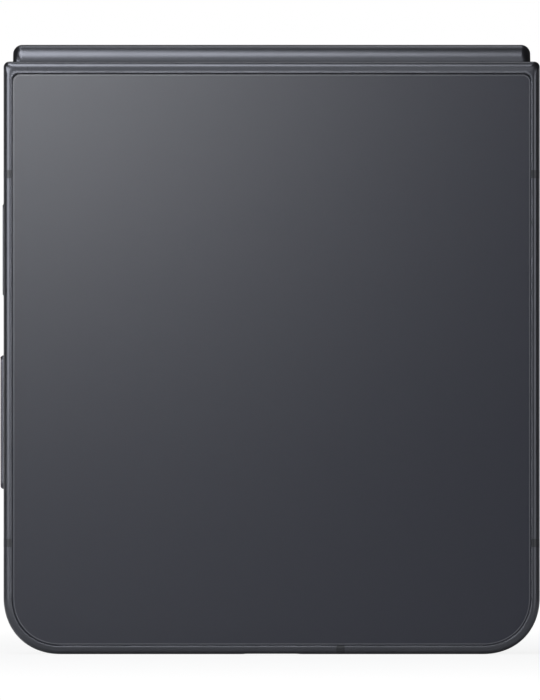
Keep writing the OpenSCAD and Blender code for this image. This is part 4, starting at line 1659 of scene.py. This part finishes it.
@dataclass
class FreeEdge:
    """What shows in the base half's free edge: charging socket, microphone and loudspeaker.

    Depths are heights above the edge, and a pair of half sizes runs along X and Y.
    """

    y: float = -4.2
    half_len: float = 4.17
    half_wide: float = 1.28
    wall: float = 0.3
    gap: float = 0.1
    lip_inset: tuple[float, ...] = (0.0, 0.0, 0.06, 0.16, 0.24, 0.3, 0.3)
    lip_z: tuple[float, ...] = (7.3, 0.22, 0.12, 0.1, 0.12, 0.2, 6.8)
    tongue_half: tuple[float, float] = (3.35, 0.35)
    tongue_r: float = 0.12
    tongue_z: tuple[float, float] = (0.9, 6.8)
    contact_count: int = 12
    contact_pitch: float = 0.5
    contact_half: tuple[float, float] = (0.125, 0.02)
    contact_r: float = 0.005
    contact_y: float = 0.36
    contact_z: tuple[float, float] = (1.3, 5.0)
    mic_x: float = -14.0
    slot_count: int = 5
    slot_x: float = 14.5
    slot_pitch: float = 2.6
    slot_half: tuple[float, float] = (0.85, 0.5)
    mesh_half: tuple[float, float] = (6.6, 0.6)
    mesh_inset: tuple[float, ...] = (0.0, 0.0, 0.05)
    mesh_z: tuple[float, ...] = (0.95, 0.72, 0.68)

    def openings(self) -> list[Opening]:
        """The socket's, the microphone's and the loudspeaker's openings.

        Returns:
            The openings in the free edge.
        """
        beyond = self.wall + self.gap
        socket = Opening(self.half_len + beyond, self.half_wide + beyond, 0.0, self.y)
        slots = (Opening(*self.slot_half, self.slot_x + self.slot_pitch * k, self.y)
                 for k in range(self.slot_count))
        return [socket, Opening.microphone(self.mic_x, self.y), *slots]

    def _socket(self) -> Object:
        """Pressed shell: outer and inner slot outlines joined by a rounded lip, closed at the back."""
        outline = stadium(self.half_len + self.wall, self.half_wide + self.wall, 14)
        return grid_piece("socket_shell", facing_z(outline.rings(self.lip_inset), self.lip_z, 0.0, self.y))

    def _tongue(self) -> Object:
        """Tongue with rounded front edge in the middle of the socket.

        Returns:
            The tongue.
        """
        half_x, half_y = self.tongue_half
        outline = RoundedPanel(half_x, -half_y, half_y, self.tongue_r, self.tongue_r, 4)
        inset, depth = edge_rows(self.tongue_r)
        front, back = self.tongue_z
        return grid_piece("socket_tongue", facing_z(outline.rings([0.0, *inset]), [back, *(front + depth)],
                                                    0.0, self.y))

    def _contacts(self) -> Object:
        """Contacts on each face of the tongue, evenly spaced about its middle.

        Returns:
            All contacts as one piece.
        """
        half_x, half_y = self.contact_half
        rings = RoundedPanel(half_x, -half_y, half_y, self.contact_r, self.contact_r, 2).rings([0.0, 0.0])
        first = -self.contact_pitch * (self.contact_count - 1) / 2
        return merge_pieces("socket_contacts", [
            grid_piece("contact", facing_z(rings, self.contact_z, first + self.contact_pitch * index,
                                           self.y + side * self.contact_y))
            for index in range(self.contact_count) for side in (-1, 1)
        ])

    def _mesh(self) -> Object:
        """The loudspeaker's mesh, behind the middle of its slots.

        Returns:
            The mesh as one strip.
        """
        middle = self.slot_x + self.slot_pitch * (self.slot_count - 1) / 2
        rings = stadium(*self.mesh_half, 8).rings(self.mesh_inset)
        return grid_piece("speaker_mesh_strip", facing_z(rings, self.mesh_z, middle, self.y))

    def build(self, palette: Palette) -> None:
        """Makes the socket, its tongue and contacts, and the mesh behind the speaker's slots.

        Args:
            palette: The finishes.
        """
        shell = palette.dress(self._socket(), "port")
        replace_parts(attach(shell, Half.BASE.body), "usb_socket")
        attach(palette.dress(self._tongue(), "bezel"), Half.BASE.body)
        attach(palette.dress(self._contacts(), "gold"), Half.BASE.body)
        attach(palette.dress(self._mesh(), "mesh"), Half.BASE.body)
        log.info("free edge built")


# ---- studio ----


@dataclass(frozen=True)
class SoftLight:
    """Rectangular soft light: its place and size in metres, and its irradiance at the phone in W/m2."""

    name: str
    at: Triple
    size: tuple[float, float]
    level: float

    def build(self, middle: Vector, colour: Triple) -> None:
        """Adds the light, facing the middle of the phone.

        The power is pi * level * d * d, so that a surface facing the light gets its irradiance.

        Args:
            middle: Middle of the phone, in metres.
            colour: Colour of the light.
        """
        way = middle - Vector(self.at)
        data = bpy.data.lights.new(self.name, "AREA")
        data.shape = "RECTANGLE"
        data.size, data.size_y = self.size
        data.energy = math.pi * self.level * way.length_squared
        data.color = colour
        lamp = bpy.data.objects.new(self.name, data)
        lamp.location = self.at
        lamp.rotation_mode = "QUATERNION"
        lamp.rotation_quaternion = way.to_track_quat("-Z", "Y")
        bpy.context.scene.collection.objects.link(lamp)


@dataclass
class Studio:
    """Camera, soft lights, pale floor and white backdrop.

    The camera's sizes are in millimetres and in pixels of the picture, where origin_px is the
    origin's place. The scale holds at the base half's flanks, past_edge behind the end of their
    rounded edge. Names ending in _m are in metres. The key stands on the left and high, the far
    light beside the camera, and the others above, in front, on the right and behind.
    """

    edge_end_y: float
    past_edge: float = 1.0
    scale_px: float = 7.128
    image_px: tuple[int, int] = (540, 700)
    origin_px: tuple[float, float] = (271.7, 654.0)
    lens: float = 1000.0
    sensor: float = 36.0
    clip_m: tuple[float, float] = (0.05, 20.0)
    middle_m: Triple = (0.0, 0.0, 0.043)
    light_colour: Triple = (0.94, 0.96, 1.0)
    dim_colour: tuple[float, ...] = (0.96, 0.98, 1.0, 1.0)
    dim_level: float = 0.05
    backdrop_gloss: tuple[float, float] = (0.98, 0.999)
    floor_half_m: float = 6.0
    floor_colour: tuple[float, ...] = (0.6, 0.6, 0.6, 1.0)
    floor_white: float = 0.85
    white_level: float = 1.02
    floor_fade_m: tuple[float, float] = (0.03, 0.3)
    floor_gloss_m: tuple[float, float] = (0.3, 1.0)
    lights: tuple[SoftLight, ...] = (
        SoftLight("key", (-0.35, -0.23, 0.19), (0.36, 0.3), 2.6),
        SoftLight("far", (-0.076, -0.8, 0.1392), (0.12, 0.12), 0.31),
        SoftLight("overhead", (-0.1, -0.07, 0.45), (0.26, 0.2), 1.5),
        SoftLight("front", (0.0, -0.47, 0.41), (0.6, 0.45), 0.55),
        SoftLight("right", (0.36, -0.26, 0.08), (0.2, 0.24), 0.45),
        SoftLight("behind", (-0.05, 0.3, 0.5), (0.3, 0.12), 0.2),
    )

    def _camera(self) -> None:
        """Places the camera level with the picture's middle and far away, square on to the phone.

        The distance is the height of the picture in millimetres at the base half's flanks, times
        the focal length over the sensor's longer side.
        """
        data = bpy.data.cameras.new("camera")
        data.lens = self.lens
        data.sensor_width = self.sensor
        data.dof.use_dof = False
        data.clip_start, data.clip_end = self.clip_m
        distance = self.image_px[1] / self.scale_px * self.lens / self.sensor
        x = (self.image_px[0] / 2 - self.origin_px[0]) / self.scale_px
        z = (self.origin_px[1] - self.image_px[1] / 2) / self.scale_px
        camera = bpy.data.objects.new("camera", data)
        camera.location = Vector((x, self.edge_end_y + self.past_edge - distance, z)) * MM
        camera.rotation_euler = (math.pi / 2, 0.0, 0.0)
        bpy.context.scene.collection.objects.link(camera)
        bpy.context.scene.camera = camera

    @staticmethod
    def _seen(graph: Graph, where: NodeSocket, behind: tuple[float, float]) -> NodeSocket:
        """Mask of the rays that see the white: the camera's, those through a window, and some glosses.

        Glosses see it only behind the phone, by a smooth step of Y.

        Args:
            graph: The material's or world's nodes.
            where: A point of the floor, or a direction.
            behind: Y where the step starts and ends.

        Returns:
            The socket with the mask.
        """
        rays = graph.add("LightPath").outputs
        y = graph.add("SeparateXYZ", {0: where}).outputs["Y"]
        gloss = graph.math("MULTIPLY", graph.ramp(y, behind, smooth=True), rays["Is Glossy Ray"])
        direct = graph.math("MAXIMUM", rays["Is Camera Ray"], rays["Is Transmission Ray"])
        return graph.math("MAXIMUM", direct, gloss)

    def _world(self) -> None:
        """Dim even studio, with a white backdrop. Glosses see it within about 10 degrees of +Y."""
        world = bpy.data.worlds.new("studio")
        world.use_nodes = True
        world.node_tree.nodes.clear()
        graph = Graph(world.node_tree)
        where = graph.add("TexCoord").outputs["Generated"]
        dim = graph.add("Background", {"Color": self.dim_colour, "Strength": self.dim_level})
        white = graph.add("Background", {"Color": (1.0, 1.0, 1.0, 1.0)})
        seen = self._seen(graph, where, self.backdrop_gloss)
        mix = graph.add("MixShader", {0: seen, 1: dim.outputs[0], 2: white.outputs[0]})
        graph.add("OutputWorld", {"Surface": mix.outputs[0]})
        bpy.context.scene.world = world

    def _floor(self) -> None:
        """Pale floor that keeps the phone's shadow and fades into the white backdrop away from it.

        The share of white grows with the distance from the phone's foot, as a smooth step.
        """
        reach = self.floor_half_m
        mesh = bpy.data.meshes.new("floor")
        mesh.from_pydata([(-reach, -reach, 0), (reach, -reach, 0), (reach, reach, 0), (-reach, reach, 0)], [],
                         [(0, 1, 2, 3)])
        floor = bpy.data.objects.new("floor", mesh)
        bpy.context.scene.collection.objects.link(floor)
        material = bpy.data.materials.new("pale_floor")
        material.use_nodes = True
        nodes = material.node_tree.nodes
        nodes.remove(nodes["Principled BSDF"])
        graph = Graph(material.node_tree)
        where = graph.add("TexCoord").outputs["Object"]
        distance = graph.vector("LENGTH", where)
        away = graph.ramp(distance, self.floor_fade_m, (self.floor_white, 1.0), smooth=True)
        share = graph.math("MULTIPLY", away, self._seen(graph, where, self.floor_gloss_m))
        pale = graph.add("BsdfDiffuse", {"Color": self.floor_colour})
        white = graph.add("Emission", {"Strength": self.white_level})
        mix = graph.add("MixShader", {0: share, 1: pale.outputs[0], 2: white.outputs[0]})
        graph.plug(nodes["Material Output"], {"Surface": mix.outputs[0]})
        mesh.materials.append(material)

    def build(self) -> None:
        """Sets up the picture."""
        self._camera()
        self._world()
        self._floor()
        for light in self.lights:
            light.build(Vector(self.middle_m), self.light_colour)
        bpy.context.scene.view_settings.view_transform = "Standard"
        log.info("studio built with %d lights", len(self.lights))


def main() -> None:
    """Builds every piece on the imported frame."""
    logging.basicConfig(level=logging.INFO, format="%(name)s: %(message)s")
    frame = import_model()
    palette = Palette()
    palette.dress_nodes(frame["nodes"])
    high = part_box("base_frame")[1]
    glass_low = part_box("rear_glass")[0]
    shell = Shell(half_w=high[0] / MM, height=high[2] / MM, y_face=glass_low[1] / MM)
    keys, tray, cameras, edge = SideKeys(), CardTray(), Cameras(), FreeEdge()
    openings = {
        Half.BASE: edge.openings(),
        Half.COVER: [*keys.openings(), tray.opening(), Opening.microphone(-edge.mic_x, keys.y)],
    }
    for half in Half:
        HalfFrame(half, shell, openings[half]).build(palette)
        Bezel(half, shell).build(palette)
    OuterGlass(Half.BASE, shell, "rear_glass").build(palette)
    OuterGlass(Half.COVER, shell, "cover_glass", cameras.holes()).build(palette)
    Spine().build(palette)
    FoldingDisplay(camera_z=cameras.inner_z).build(palette)
    keys.build(palette)
    tray.build(palette)
    cameras.build(palette)
    edge.build(palette)
    Studio(edge_end_y=shell.y_face + shell.edge_y).build()
    log.info("built from Z 0 to %.1f mm", high[2] / MM)


if __name__ == "__main__":
    main()
